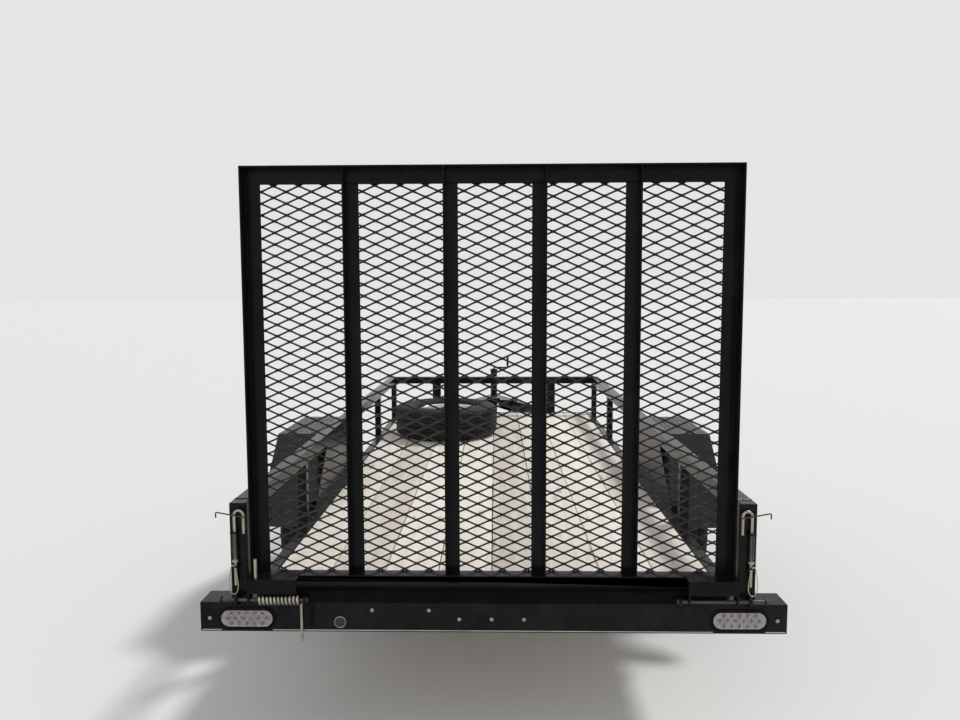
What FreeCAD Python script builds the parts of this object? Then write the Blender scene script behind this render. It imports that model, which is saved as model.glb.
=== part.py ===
import FreeCAD, Part
import Sketcher
import math
import os
import re

os.makedirs("parts", exist_ok=True)

# Single axle utility trailer with a mesh ramp gate, standing on its wheels and its tongue jack.
# Millimetres, Z up from the floor, Y forward to the coupler, X to the right seen from behind.

doc = FreeCAD.newDocument("UtilityTrailer")
sheet = doc.addObject("Spreadsheet::Sheet", "Sizes")

# alias, millimetres
drivingSizes = [
    # rear light bar, a closed box section
    ("bumperFloor", 394.0),
    ("bumperTall", 95.5),
    ("bumperDeep", 95.3),
    ("bumperHalf", 926.0),
    ("bumperWall", 4.8),
    # bed frame of rolled channel with planks between the side channels
    ("deckLong", 3657.6),
    ("deckRise", 128.3),
    ("channelTall", 101.6),
    ("channelFlange", 40.6),
    ("channelWeb", 4.7),
    ("channelLip", 6.8),
    ("frameHalf", 774.7),
    ("crossTall", 50.8),
    ("crossLeg", 50.8),
    ("crossThick", 4.8),
    ("boardThick", 38.1),
    ("boardGap", 3.2),
    ("boardEdgeGap", 4.0),
    ("endPlateThick", 4.8),
    ("endPlateReach", 125.0),
    # top rails and their posts
    ("railTube", 50.8),
    ("railWall", 3.2),
    ("railRise", 286.0),
    ("postSetback", 7.6),
    ("stakeTube", 38.1),
    ("stakeWall", 3.0),
    ("stakeRear", 767.0),
    ("stakeFront", 2794.0),
    ("stakeDrop", 88.0),
    ("frontPostWide", 63.5),
    ("frontPostPlace", 452.0),
    # axle, hubs and wheels
    ("axlePlace", 1486.0),
    ("tyreRadius", 340.0),
    ("tyreWide", 205.0),
    ("treadWide", 150.0),
    ("rimRadius", 190.5),
    ("rimWide", 140.0),
    ("rimThick", 3.6),
    ("rimGap", 0.2),
    ("rimLip", 13.0),
    ("lipThick", 3.6),
    ("discThick", 5.0),
    ("spokeRoot", 88.0),
    ("spokeHalf", 20.0),
    ("trackHalf", 914.0),
    ("axleTube", 25.4),
    ("axleHalf", 838.0),
    ("spindleRadius", 17.0),
    ("spindleEnd", 972.0),
    ("bearingGap", 0.05),
    ("hubGap", 4.0),
    ("hubRadius", 36.0),
    ("hubFlange", 72.0),
    ("hubFlangeThick", 10.0),
    ("pilotRadius", 32.0),
    ("capRadius", 25.0),
    # leaf springs under the axle tube
    ("springPlace", 752.0),
    ("springWide", 44.5),
    ("springSpan", 660.0),
    ("springArch", 62.0),
    ("leafThick", 6.4),
    ("eyeRadius", 17.0),
    ("hangerWall", 5.0),
    ("clampRod", 6.0),
    ("clampPlate", 9.5),
    # trapezoid fenders and their backing plates
    ("fenderOut", 1024.0),
    ("fenderFlat", 500.0),
    ("fenderFoot", 1040.0),
    ("fenderTop", 800.0),
    ("fenderLow", 548.0),
    ("fenderThick", 3.2),
    ("fenderSkirt", 57.0),
    ("backingThick", 3.2),
    ("backingDrop", 60.0),
    # tongue, coupler and jack
    ("tongueHalf", 508.0),
    ("tongueLong", 985.0),
    ("tongueAngle", 25.0),
    ("couplerLong", 335.0),
    ("couplerWall", 5.0),
    ("couplerSkirt", 78.0),
    ("ballRadius", 25.4),
    ("ballGap", 0.6),
    ("ballAhead", 92.0),
    ("noseRadius", 36.0),
    ("jackAhead", 740.0),
    ("jackRadius", 28.6),
    ("jackWall", 2.6),
    ("jackGap", 0.5),
    ("jackTop", 775.0),
    ("jackLow", 352.0),
    ("legTop", 436.0),
    ("legWall", 4.0),
    ("footHalf", 63.5),
    ("footThick", 6.0),
    ("jackPlate", 54.0),
    ("jackPlateThick", 9.5),
    ("jackHead", 32.0),
    ("jackHeadTall", 21.0),
    ("crankReach", 122.0),
    ("crankRadius", 6.4),
    ("gripLong", 96.0),
    ("gripRadius", 11.0),
    # ramp gate of angle iron with expanded mesh
    ("gateHalf", 764.5),
    ("gateTop", 1849.4),
    ("gateRailTop", 574.3),
    ("gateAngle", 50.8),
    ("gateRailDrop", 38.1),
    ("gateThick", 4.8),
    ("uprightAngle", 44.5),
    ("meshThick", 3.4),
    ("meshStrand", 7.0),
    ("meshLap", 12.0),
    # hinge line behind the light bar
    ("hingeBack", 18.3),
    ("hingeFloor", 505.3),
    ("hingeRod", 6.35),
    ("hingeGap", 0.15),
    ("rodInner", 574.0),
    ("rodOuter", 858.0),
    ("washerRadius", 11.5),
    ("washerThick", 3.0),
    ("lugThick", 8.0),
    ("lugRadius", 15.0),
    ("lugInner", 581.0),
    ("lugOuter", 798.0),
    ("lugDrop", 24.0),
    ("earThick", 6.4),
    ("earRadius", 13.0),
    ("bracketInner", 609.6),
    ("bracketRaise", 23.0),
    # torsion spring that lifts the gate
    ("coilWire", 5.3),
    ("coilMean", 12.8),
    ("coilOuter", 744.0),
    ("coilTurns", 12.0),
    ("coilPitch", 11.6),
    ("coilDrop", 28.0),
    ("armTop", 638.0),
    ("armRoom", 1.0),
    # spring loaded cane latches on the rear posts
    ("latchPlace", 806.0),
    ("latchReach", 28.0),
    ("latchRod", 4.8),
    ("latchBack", 11.0),
    ("latchTop", 773.0),
    ("latchLow", 548.0),
    ("latchTip", 714.0),
    ("guideThick", 4.0),
    ("guideHalf", 12.0),
    ("guideUpper", 716.0),
    ("guideLower", 606.0),
    ("latchCoil", 8.6),
    ("latchWire", 1.5),
    ("latchCollar", 10.0),
    # lamps in the light bar
    ("lampPlace", 776.5),
    ("lampRise", 43.5),
    ("lampLong", 165.0),
    ("lampTall", 54.0),
    ("lampProud", 6.0),
    ("grommetRim", 11.0),
    ("grommetProud", 3.0),
    ("lampDeep", 24.0),
    ("markerPlace", 895.0),
    ("markerSpread", 102.0),
    ("markerRadius", 10.0),
    ("markerProud", 4.0),
    # spare wheel lying on the planks
    ("sparePlace", 317.0),
    ("spareAhead", 2743.0),
    ("restGap", 0.2),
]

# side of the trailer and its sign on the X axis
sides = [("left", -1), ("right", 1)]

# places of the gate's inner uprights, from left to right
uprightPlaces = [("uprightA", -431.0), ("uprightB", -124.0), ("uprightC", 149.0), ("uprightD", 436.0)]

boardCount = 8
crossCount = 6
meshColumns = 16
meshRows = 30
spokeCount = 8
markerCount = 3

# share of the spring's span that each leaf covers, from the top
leafShares = (1.0, 0.8, 0.58, 0.36)

# flat sides of pieces that are round on the real trailer, which keep the model light
wheelSides = 52
jackSides = 20
hubSides = 20
lampSides = 16
pinSides = 12
wireSides = 6
coilStations = 8

for row, (alias, value) in enumerate(drivingSizes + uprightPlaces, start=1):
    sheet.set("A%d" % row, alias)
    sheet.set("B%d" % row, "%.4f" % value)
    sheet.setAlias("B%d" % row, alias)
nextRow = len(drivingSizes) + len(uprightPlaces) + 1
aliases = {alias for alias, value in drivingSizes + uprightPlaces}
doc.recompute()


def size(alias):
    return float(sheet.get(alias))


def number(formula):
    # the value of a formula now, worked out in a spare cell of the sheet
    sheet.set("D1", "=" + str(formula))
    sheet.recompute()
    return float(sheet.get("D1"))


def derive(alias, formula):
    # one more plain number in the sheet, worked out from the driving ones
    global nextRow
    sheet.set("A%d" % nextRow, alias)
    sheet.set("B%d" % nextRow, "%.9f" % number(formula))
    sheet.setAlias("B%d" % nextRow, alias)
    aliases.add(alias)
    nextRow += 1
    doc.recompute()


def onSheet(formula):
    # puts the sheet's name before each of its aliases
    return re.sub(r"[A-Za-z]+",
                  lambda word: "Sizes." + word.group() if word.group() in aliases else word.group(),
                  str(formula))


def bind(item, **formulas):
    for name, formula in formulas.items():
        item.setExpression(name, onSheet(formula))


def place(item, x="0", y="0", z="0", turn=None):
    # the item's place in the trailer's frame, with Y counted forward from the light bar's rear face
    if turn is not None:
        item.Placement = FreeCAD.Placement(FreeCAD.Vector(), turn)
    for name, formula in (("x", x), ("y", "rearFace + (%s)" % y), ("z", z)):
        item.setExpression("Placement.Base." + name, onSheet(formula))
    return item


turnToX = FreeCAD.Rotation(FreeCAD.Vector(0, 1, 0), 90)
turnToY = FreeCAD.Rotation(FreeCAD.Vector(1, 0, 0), -90)
nodes = []


def keep(item, node):
    item.Label = node
    nodes.append(item)
    return item


def box(name, x, y, z, wide, deep, tall):
    item = doc.addObject("Part::Box", name)
    bind(item, Length=wide, Width=deep, Height=tall)
    return place(item, x, y, z)


def rod(name, radius, tall, x, y, z, turn=None):
    item = doc.addObject("Part::Cylinder", name)
    bind(item, Radius=radius, Height=tall)
    return place(item, x, y, z, turn)


def prism(name, flats, radius, tall, x, y, z, turn=None):
    # a round piece with flat sides
    item = doc.addObject("Part::Prism", name)
    item.Polygon = flats
    bind(item, Circumradius=radius, Height=tall)
    return place(item, x, y, z, turn)


def barAlong(path, radius, flats):
    # a bar with flat sides and mitred corners along the points of a path
    spots = [FreeCAD.Vector(*spot) for spot in path]
    ahead = (spots[1] - spots[0]).normalize()
    steep = abs(ahead.z) > 0.7
    side = ahead.cross(FreeCAD.Vector(1, 0, 0) if steep else FreeCAD.Vector(0, 0, 1)).normalize()
    other = ahead.cross(side)
    angles = [2 * math.pi * index / flats for index in range(flats)]
    ring = [spots[0] + side * radius * math.cos(angle) + other * radius * math.sin(angle)
            for angle in angles]
    return Part.makePolygon(spots).makePipeShell([Part.makePolygon(ring + ring[:1])], True, False, 1)


def fuse(name, pieces):
    item = doc.addObject("Part::MultiFuse", name)
    item.Shapes = pieces
    item.Refine = True
    return item


def cut(name, base, tool):
    item = doc.addObject("Part::Cut", name)
    item.Base = base
    item.Tool = tool
    return item


def group(name, pieces):
    item = doc.addObject("Part::Compound", name)
    item.Links = pieces
    return item


def outlineSketch(body, name, plane, loops):
    # closed outlines whose corners are pairs of formulas, on one of the body's own planes
    sketch = body.newObject("Sketcher::SketchObject", name)
    planes = [item for item in body.Origin.OriginFeatures if item.Role == plane]
    sketch.AttachmentSupport = (planes[0], [""])
    sketch.MapMode = "FlatFace"
    for loop in loops:
        first = sketch.GeometryCount
        count = len(loop)
        spots = [FreeCAD.Vector(number(across), number(up), 0) for across, up in loop]
        for index in range(count):
            sketch.addGeometry(Part.LineSegment(spots[index], spots[(index + 1) % count]))
        for index in range(count):
            following = first + (index + 1) % count
            sketch.addConstraint(Sketcher.Constraint("Coincident", first + index, 2, following, 1))
        for index, (across, up) in enumerate(loop):
            for kind, formula, value in (("DistanceX", across, spots[index].x),
                                         ("DistanceY", up, spots[index].y)):
                spot = sketch.addConstraint(Sketcher.Constraint(kind, -1, 1, first + index, 1, value))
                sketch.setExpression("Constraints[%d]" % spot, onSheet(formula))
    return sketch


def padded(node, plane, loops, long, back=False):
    # a straight bar or plate at its own origin: outlines padded square to the plane
    body = doc.addObject("PartDesign::Body", node)
    sketch = outlineSketch(body, node + "Outline", plane, loops)
    pad = body.newObject("PartDesign::Pad", node + "Pad")
    pad.Profile = sketch
    pad.Reversed = back
    bind(pad, Length=long)
    return body


def profile(node, plane, loops, long, x="0", y="0", z="0", turn=None, back=False):
    return place(padded(node, plane, loops, long, back), x, y, z, turn)


def tubeLoops(wide, tall, wall):
    outer = [("0", "0"), (wide, "0"), (wide, tall), ("0", tall)]
    inner = [(wall, wall), ("%s - %s" % (wide, wall), wall),
             ("%s - %s" % (wide, wall), "%s - %s" % (tall, wall)), (wall, "%s - %s" % (tall, wall))]
    return [outer, inner]


derive("rearFace", "0")
derive("frameTop", "bumperFloor + deckRise")
derive("frameLow", "frameTop - channelTall")
derive("bumperTop", "bumperFloor + bumperTall")
derive("plankLow", "frameTop - boardThick")
derive("railTop", "frameTop + railRise")
derive("railLow", "railTop - railTube")
derive("railOut", "frameHalf + railTube")
derive("deckHalf", "frameHalf - channelFlange - boardEdgeGap")
derive("plankWide", "(2 * deckHalf - %d * boardGap) / %d" % (boardCount - 1, boardCount))
derive("plankFront", "deckLong - channelFlange - boardEdgeGap")
derive("plateFace", "postSetback + gateAngle - gateThick")
derive("tongueEnd", "deckLong + tongueLong")
derive("tongueSlope", "tan(tongueAngle)")
derive("ballPlace", "tongueEnd + ballAhead")
derive("ballFloor", "frameTop - channelTall / 2 + 24")
derive("jackPlace", "deckLong + jackAhead")
derive("jackBore", "jackRadius - jackWall")
derive("legRadius", "jackBore - jackGap")
derive("fenderRun", "(fenderFoot - fenderFlat) / 2")
derive("fenderClimb", "fenderTop - fenderLow")
derive("slant", "sqrt(fenderRun * fenderRun + fenderClimb * fenderClimb) / fenderClimb")
derive("springRadius", "(springSpan * springSpan / 4 + springArch * springArch) / (2 * springArch)")
derive("springTop", "tyreRadius - axleTube")
derive("seatLean", "%g * springSpan / 2 / springRadius" % leafShares[-1])
derive("springMiddle", "springTop + springRadius * sqrt(1 - seatLean * seatLean)")
derive("packLow", "springMiddle - (springRadius + %d * leafThick) * sqrt(1 - seatLean * seatLean)"
       % len(leafShares))
derive("eyeLean", "springSpan / 2 / springRadius")
derive("eyeFloor", "springMiddle - (springRadius + leafThick / 2) * sqrt(1 - eyeLean * eyeLean)")
derive("rimSeat", "rimRadius - rimGap")
derive("spokeEnd", "rimSeat - 0.8 * rimThick")
derive("lugFlat", "lugRadius * cos(22.5)")
derive("lugStep", "lugRadius * sin(22.5)")
derive("earFlat", "earRadius * cos(22.5)")
derive("earStep", "earRadius * sin(22.5)")
derive("armAcross", "coilWire - coilOuter")
derive("armBack", "coilWire + gateThick - hingeBack - earFlat")
derive("meshFace", "postSetback + gateAngle")


# the rear light bar with its lamp holes
def oval(name, across, floor, start, deep, long, tall):
    half = "(%s - (%s)) / 2" % (long, tall)
    middle = box(name + "Middle", "%s - %s" % (across, half), start, "%s - (%s) / 2" % (floor, tall),
                 "2 * " + half, deep, tall)
    ends = [prism(name + end, lampSides, "(%s) / 2" % tall, deep, "%s %s %s" % (across, sign, half),
                  start, floor, turnToY) for end, sign in (("Near", "-"), ("Far", "+"))]
    return fuse(name, [middle] + ends)


def smallLamps():
    # the two clearance lamps and the three in the middle
    spots = ["-markerPlace", "markerPlace"]
    spots += ["%d * markerSpread" % (index - (markerCount - 1) // 2) for index in range(markerCount)]
    return [prism("Marker%d" % index, pinSides, "markerRadius", "markerProud", spot, "-markerProud",
                  "bumperFloor + lampRise", turnToY) for index, spot in enumerate(spots)]


def lightBar():
    rise = "bumperFloor + lampRise"
    outer = box("BarOuter", "-bumperHalf", "0", "bumperFloor", "2 * bumperHalf", "bumperDeep", "bumperTall")
    inner = box("BarInner", "bumperWall - bumperHalf", "bumperWall", "bumperFloor + bumperWall",
                "2 * (bumperHalf - bumperWall)", "bumperDeep - 2 * bumperWall",
                "bumperTall - 2 * bumperWall")
    holes = [oval("Hole" + side, "%d * lampPlace" % sign, rise, "-bumperWall", "3 * bumperWall", "lampLong",
                  "lampTall") for side, sign in sides]
    keep(cut("LightBar", cut("BarShell", outer, inner), fuse("BarHoles", holes)), "rear_light_bar")

    rims = []
    lenses = []
    for side, sign in sides:
        spot = "%d * lampPlace" % sign
        flange = oval("Flange" + side, spot, rise, "-grommetProud", "grommetProud",
                      "lampLong + 2 * grommetRim", "lampTall + 2 * grommetRim")
        bore = oval("Bore" + side, spot, rise, "-2 * grommetProud", "3 * grommetProud", "lampLong",
                    "lampTall")
        rims.append(cut("Grommet" + side, flange, bore))
        lenses.append(oval("Lens" + side, spot, rise, "-lampProud", "lampDeep + lampProud", "lampLong",
                           "lampTall"))
    keep(group("Grommets", rims), "lamp_grommets")
    keep(group("Lenses", lenses), "tail_lamps")
    keep(group("Markers", smallLamps()), "marker_lamps")


# the bed: channels, crossmembers, planks and the angle that caps the planks' rear ends
def bed():
    for side, sign in sides:
        web = "%d * (frameHalf - channelWeb)" % sign
        lip = "%d * (frameHalf - channelFlange)" % sign
        out = "%d * frameHalf" % sign
        section = [(out, "0"), (lip, "0"), (lip, "channelLip"), (web, "channelLip"),
                   (web, "channelTall - channelLip"), (lip, "channelTall - channelLip"),
                   (lip, "channelTall"), (out, "channelTall")]
        keep(profile("Channel" + side, "XZ_Plane", [section], "deckLong - bumperDeep", y="bumperDeep",
                     z="frameLow", back=True), "frame_channel_" + side)
    front = [("0", "0"), ("-channelFlange", "0"), ("-channelFlange", "channelLip"),
             ("-channelWeb", "channelLip"),
             ("-channelWeb", "channelTall - channelLip"), ("-channelFlange", "channelTall - channelLip"),
             ("-channelFlange", "channelTall"), ("0", "channelTall")]
    keep(profile("FrontChannel", "YZ_Plane", [front], "2 * (frameHalf - channelFlange)",
                 x="channelFlange - frameHalf", y="deckLong", z="frameLow"), "front_channel")

    angle = [("0", "0"), ("crossLeg", "0"), ("crossLeg", "-crossThick"), ("crossThick", "-crossThick"),
             ("crossThick", "-crossTall"), ("0", "-crossTall")]
    members = [profile("Cross%d" % index, "YZ_Plane", [angle], "2 * (frameHalf - channelWeb)",
                       x="channelWeb - frameHalf", z="plankLow",
                       y="bumperDeep + %d * (plankFront - crossLeg - bumperDeep) / %d"
                         % (index, crossCount - 1))
               for index in range(crossCount)]
    keep(group("Crossmembers", members), "crossmembers")

    planks = [box("Plank%d" % index, "%d * (plankWide + boardGap) - deckHalf" % index,
                  "bumperDeep + boardGap",
                  "plankLow", "plankWide", "plankFront - bumperDeep - boardGap", "boardThick")
              for index in range(boardCount)]
    keep(group("Planks", planks), "deck_planks")

    cap = [("0", "bumperTop"), ("endPlateThick", "bumperTop"), ("endPlateThick", "frameTop"),
           ("endPlateReach", "frameTop"), ("endPlateReach", "frameTop + endPlateThick"),
           ("0", "frameTop + endPlateThick")]
    keep(profile("EndAngle", "YZ_Plane", [cap], "2 * deckHalf", x="-deckHalf"), "deck_end_angle")


# square tube rails on their posts and stakes
def rails():
    posts = []
    for side, sign in sides:
        near = "frameHalf" if sign > 0 else "-railOut"
        outer = box("Post" + side, near, "postSetback", "bumperTop", "railTube", "railTube",
                    "railTop - bumperTop")
        inner = box("PostBore" + side, near + " + railWall", "postSetback + railWall", "bumperTop",
                    "railTube - 2 * railWall", "railTube - 2 * railWall", "railTop - bumperTop - railWall")
        posts.append(cut("RearPost" + side, outer, inner))

        tube = profile("RailTube" + side, "XZ_Plane", tubeLoops("railTube", "railTube", "railWall"),
                       "deckLong - postSetback - railTube", x=near, y="postSetback + railTube", z="railLow",
                       back=True)
        plug = box("RailCap" + side, near, "deckLong - railWall", "railLow", "railTube", "railWall",
                   "railTube")
        keep(fuse("SideRail" + side, [tube, plug]), "side_rail_" + side)

        stakeX = "frameHalf" if sign > 0 else "-frameHalf - stakeTube"
        stakes = [profile("Stake%s%d" % (side, index), "XY_Plane",
                          tubeLoops("stakeTube", "stakeTube", "stakeWall"),
                          "railLow - frameTop + stakeDrop", x=stakeX, y=spot, z="frameTop - stakeDrop")
                  for index, spot in enumerate(("stakeRear", "stakeFront", "deckLong - stakeTube"))]
        keep(group("Stakes" + side, stakes), "stakes_" + side)
    keep(group("RearPosts", posts), "rear_posts")

    keep(profile("FrontRail", "YZ_Plane", tubeLoops("railTube", "railTube", "railWall"), "2 * frameHalf",
                 x="-frameHalf", y="deckLong - railTube", z="railLow"), "front_rail")
    fronts = [profile("FrontPost" + side, "XY_Plane", tubeLoops("frontPostWide", "stakeTube", "stakeWall"),
                      "railLow - frameTop", x="%d * frontPostPlace - frontPostWide / 2" % sign,
                      y="deckLong - stakeTube", z="frameTop") for side, sign in sides]
    keep(group("FrontPosts", fronts), "front_posts")


# bent sheet fenders carried by plates on the frame and by the side rails
def bandLoop(deep):
    # a trapezoid band, open below: its outer line, then the same line moved in by deep
    rear = "axlePlace - fenderFoot / 2"
    front = "axlePlace + fenderFoot / 2"
    step = "%s * slant" % deep
    climb = "(fenderClimb - %s) * fenderRun / fenderClimb" % deep
    return [(rear, "fenderLow"), (rear + " + fenderRun", "fenderTop"), (front + " - fenderRun", "fenderTop"),
            (front, "fenderLow"), (front + " - " + step, "fenderLow"),
            (front + " - %s - %s" % (step, climb), "fenderTop - " + deep),
            (rear + " + %s + %s" % (step, climb), "fenderTop - " + deep), (rear + " + " + step, "fenderLow")]


def fenders():
    plates = []
    margin = "2 * fenderSkirt / 5"
    low = "frameTop - backingDrop"
    edges = [(low, "fenderRun * (frameTop - backingDrop - fenderLow) / fenderClimb"),
             ("railLow", "fenderRun * (railLow - fenderLow) / fenderClimb")]
    outline = [("axlePlace - fenderFoot / 2 + %s - %s" % (shift, margin), level) for level, shift in edges]
    outline += [("axlePlace + fenderFoot / 2 - %s + %s" % (shift, margin), level)
                for level, shift in edges[::-1]]
    for side, sign in sides:
        near = "frameHalf" if sign > 0 else "-frameHalf - backingThick"
        plates.append(profile("Backing" + side, "YZ_Plane", [outline], "backingThick", x=near))
        sheetX = "frameHalf + backingThick" if sign > 0 else "-fenderOut"
        top = profile("FenderSheet" + side, "YZ_Plane", [bandLoop("fenderThick")],
                      "fenderOut - frameHalf - backingThick", x=sheetX)
        skirtX = "fenderOut - fenderThick" if sign > 0 else "-fenderOut"
        skirt = profile("FenderSkirt" + side, "YZ_Plane", [bandLoop("fenderSkirt")], "fenderThick", x=skirtX)
        room = box("RailRoom" + side, "0" if sign > 0 else "-railOut", "0", "railLow", "railOut", "deckLong",
                   "railTube")
        keep(cut("Fender" + side, fuse("FenderBent" + side, [top, skirt]), room), "fender_" + side)
    keep(group("Backings", plates), "fender_backings")


# axle, leaf springs, hangers and clamps
def leafSpot(share, layer, sign):
    # a corner of the leaf pack's side, by its share of the span and the layer it lies on
    ring = "(springRadius + %g * leafThick)" % layer
    lean = "(%g * springSpan / 2 / springRadius)" % share
    return "%d * %s * %s" % (sign, ring, lean), "springMiddle - %s * sqrt(1 - %s * %s)" % (ring, lean, lean)


def leafSpring(side, middle):
    # leaves under one another, flat at the axle, the longest on top and bent round an eye at each end
    half = [(share, 0) for share in leafShares[::-1]] + [(leafShares[0], 1)]
    for layer, share in enumerate(leafShares[1:], start=1):
        half += [(share, layer), (share, layer + 1)]
    outline = [leafSpot(share, layer, 1) for share, layer in half]
    outline += [leafSpot(share, layer, -1) for share, layer in half[::-1]]
    near = middle + " - springWide / 2"
    pieces = [profile("Leaves" + side, "YZ_Plane", [outline], "springWide", x=near, y="axlePlace")]
    for end, step in (("Rear", "-"), ("Front", "+")):
        pieces.append(prism("Eye%s%s" % (side, end), pinSides, "eyeRadius", "springWide", near,
                            "axlePlace %s springSpan / 2" % step, "eyeFloor", turnToX))
    return fuse("LeafSpring" + side, pieces)


def runningGear():
    tube = box("AxleTube", "-axleHalf", "axlePlace - axleTube", "tyreRadius - axleTube", "2 * axleHalf",
               "2 * axleTube", "2 * axleTube")
    spindle = rod("Spindle", "spindleRadius", "2 * spindleEnd", "-spindleEnd", "axlePlace", "tyreRadius",
                  turnToX)
    keep(fuse("Axle", [tube, spindle]), "axle")
    low = "eyeFloor - 1.2 * eyeRadius"
    inner = "springWide / 2"
    outer = "springWide / 2 + hangerWall"
    section = [("-(%s)" % outer, low), ("-(%s)" % outer, "frameLow"), (outer, "frameLow"), (outer, low),
               (inner, low),
               (inner, "frameLow - hangerWall"), ("-" + inner, "frameLow - hangerWall"), ("-" + inner, low)]
    hangers = []
    clamps = []
    for side, sign in sides:
        middle = "%d * springPlace" % sign
        keep(leafSpring(side, middle), "leaf_spring_" + side)
        for end, step in (("Rear", "-"), ("Front", "+")):
            hangers.append(profile("Hanger%s%s" % (side, end), "XZ_Plane", [section], "2.6 * eyeRadius",
                                   x=middle,
                                   y="axlePlace %s springSpan / 2 - 1.3 * eyeRadius" % step, back=True))
        clamps.append(clamp(side, middle))
    keep(group("Hangers", hangers), "spring_hangers")
    keep(group("Clamps", clamps), "axle_clamps")


def clamp(side, middle):
    # a plate under the leaves, held by two bolts bent over the axle
    thread = size("clampRod")
    bend = size("axleTube") + thread
    top = size("tyreRadius") + bend
    floor = size("packLow") - size("clampPlate")
    pieces = []
    for step in (-1, 1):
        x = step * (size("springWide") / 2 + thread)
        path = [(x, -bend, floor - 2 * thread), (x, -bend, top), (x, bend, top),
                (x, bend, floor - 2 * thread)]
        pieces.append(barAlong(path, thread, wireSides))
    wide = size("springWide") + 6 * thread
    deep = 2 * bend + 4 * thread
    plate = Part.makeBox(wide, deep, size("clampPlate"), FreeCAD.Vector(-wide / 2, -deep / 2, floor))
    item = doc.addObject("Part::Feature", "Clamp" + side)
    item.Shape = plate.multiFuse(pieces).removeSplitter()
    return place(item, middle, "axlePlace", "0")


# wheels: tyre, pressed steel rim and hub, each on its own X axis with the outer side forward
def axial(name, radius, start, long, flats=0):
    # a round piece on that axis, or one with flat sides where their number is given
    item = doc.addObject("Part::Prism" if flats else "Part::Cylinder", name)
    if flats:
        item.Polygon = flats
        bind(item, Circumradius=radius, Height=long)
    else:
        bind(item, Radius=radius, Height=long)
    item.Placement = FreeCAD.Placement(FreeCAD.Vector(), turnToX)
    item.setExpression("Placement.Base.x", onSheet(start))
    return item


def flatRing(name, section, flats):
    # a ring round that axis with flat sides, from the corners (x, radius) of its section
    angles = [2 * math.pi * index / flats for index in range(flats + 1)]
    rings = [[FreeCAD.Vector(x, radius * math.sin(angle), radius * math.cos(angle)) for angle in angles[:-1]]
             for x, radius in section]
    faces = []
    for here, there in zip(rings, rings[1:] + rings[:1]):
        for index in range(flats):
            following = (index + 1) % flats
            corners = [here[index], here[following], there[following], there[index]]
            faces.append(Part.Face(Part.makePolygon(corners + corners[:1])))
    item = doc.addObject("Part::Feature", name)
    item.Shape = Part.Solid(Part.Shell(faces)).removeSplitter()
    return item


def mirrored(half):
    # the whole section of a ring from the corners of its right half
    return half + [(-x, radius) for x, radius in half[::-1]]


def tyreRing(name):
    # the wall passes just over the inner corner of the rim's lip
    seat = size("rimRadius")
    edge = size("rimWide") / 2 - size("lipThick")
    over = size("rimSeat") + size("rimLip") + size("rimGap")
    outer = size("tyreRadius")
    wide = size("tyreWide") / 2
    bulge = seat + 0.45 * (outer - seat)
    bead = edge - (over - seat) * (wide - edge) / (bulge - over)
    shoulder = seat + 0.86 * (outer - seat)
    return flatRing(name, mirrored([(bead, seat), (wide, bulge), (0.9 * wide, shoulder),
                                    (size("treadWide") / 2, outer)]), wheelSides)


def rimPiece(name):
    # a barrel with a lip outside each of the tyre's beads, and a disc whose spokes end in the barrel's wall
    across = size("rimWide") / 2
    seat = size("rimSeat")
    inside = seat - size("rimThick")
    lip = seat + size("rimLip")
    barrel = flatRing(name + "Barrel", mirrored([(across, inside), (across, lip),
                                                 (across - size("lipThick"), lip),
                                                 (across - size("lipThick"), seat)]), wheelSides)
    corners = []
    for index in range(spokeCount):
        angle = 2 * math.pi * index / spokeCount
        for side in (-1, 1):
            corners.append(("%.9f * spokeEnd - %.9f * spokeHalf" % (math.cos(angle), side * math.sin(angle)),
                            "%.9f * spokeEnd + %.9f * spokeHalf"
                            % (math.sin(angle), side * math.cos(angle))))
        angle += math.pi / spokeCount
        corners.append(("%.9f * spokeRoot" % math.cos(angle), "%.9f * spokeRoot" % math.sin(angle)))
    disc = padded(name + "Disc", "YZ_Plane", [corners], "discThick")
    pilot = axial(name + "Pilot", "pilotRadius", "-discThick", "3 * discThick", hubSides)
    return cut(name, fuse(name + "Welded", [barrel, disc]), pilot)


def hubPiece(name):
    # its mounting face is at X = 0, and its blind bore runs on the spindle
    inner = "axleHalf + hubGap - trackHalf"
    end = "spindleEnd + hubGap - trackHalf"
    blank = fuse(name + "Blank", [axial(name + "Barrel", "hubRadius", inner, "-(%s)" % inner, hubSides),
                                  axial(name + "Flange", "hubFlange", "-hubFlangeThick", "hubFlangeThick",
                                        hubSides),
                                  axial(name + "Cap", "capRadius", "-hubFlangeThick",
                                        "%s + 3 * hubGap + hubFlangeThick" % end, hubSides)])
    bore = axial(name + "Bore", "spindleRadius + bearingGap", inner + " - hubGap",
                 "%s + hubGap - (%s)" % (end, inner))
    return cut(name, blank, bore)


def facing(sign):
    # turns a wheel piece so that its outer side points away from the trailer
    return FreeCAD.Rotation(FreeCAD.Vector(0, 0, 1), 0 if sign > 0 else 180)


def wheels():
    for side, sign in sides:
        for kind, shape in (("tyre", tyreRing), ("rim", rimPiece), ("hub", hubPiece)):
            piece = shape(kind.capitalize() + side.capitalize())
            keep(place(piece, "%d * trackHalf" % sign, "axlePlace", "tyreRadius", facing(sign)),
                 kind + "_" + side)
    upward = FreeCAD.Rotation(FreeCAD.Vector(0, 1, 0), -90)
    level = "frameTop + restGap + tyreWide / 2"
    keep(place(tyreRing("TyreSpare"), "-sparePlace", "spareAhead", level, upward), "spare_tyre")
    keep(place(rimPiece("RimSpare"), "-sparePlace", "spareAhead", level, upward), "spare_rim")


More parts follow.
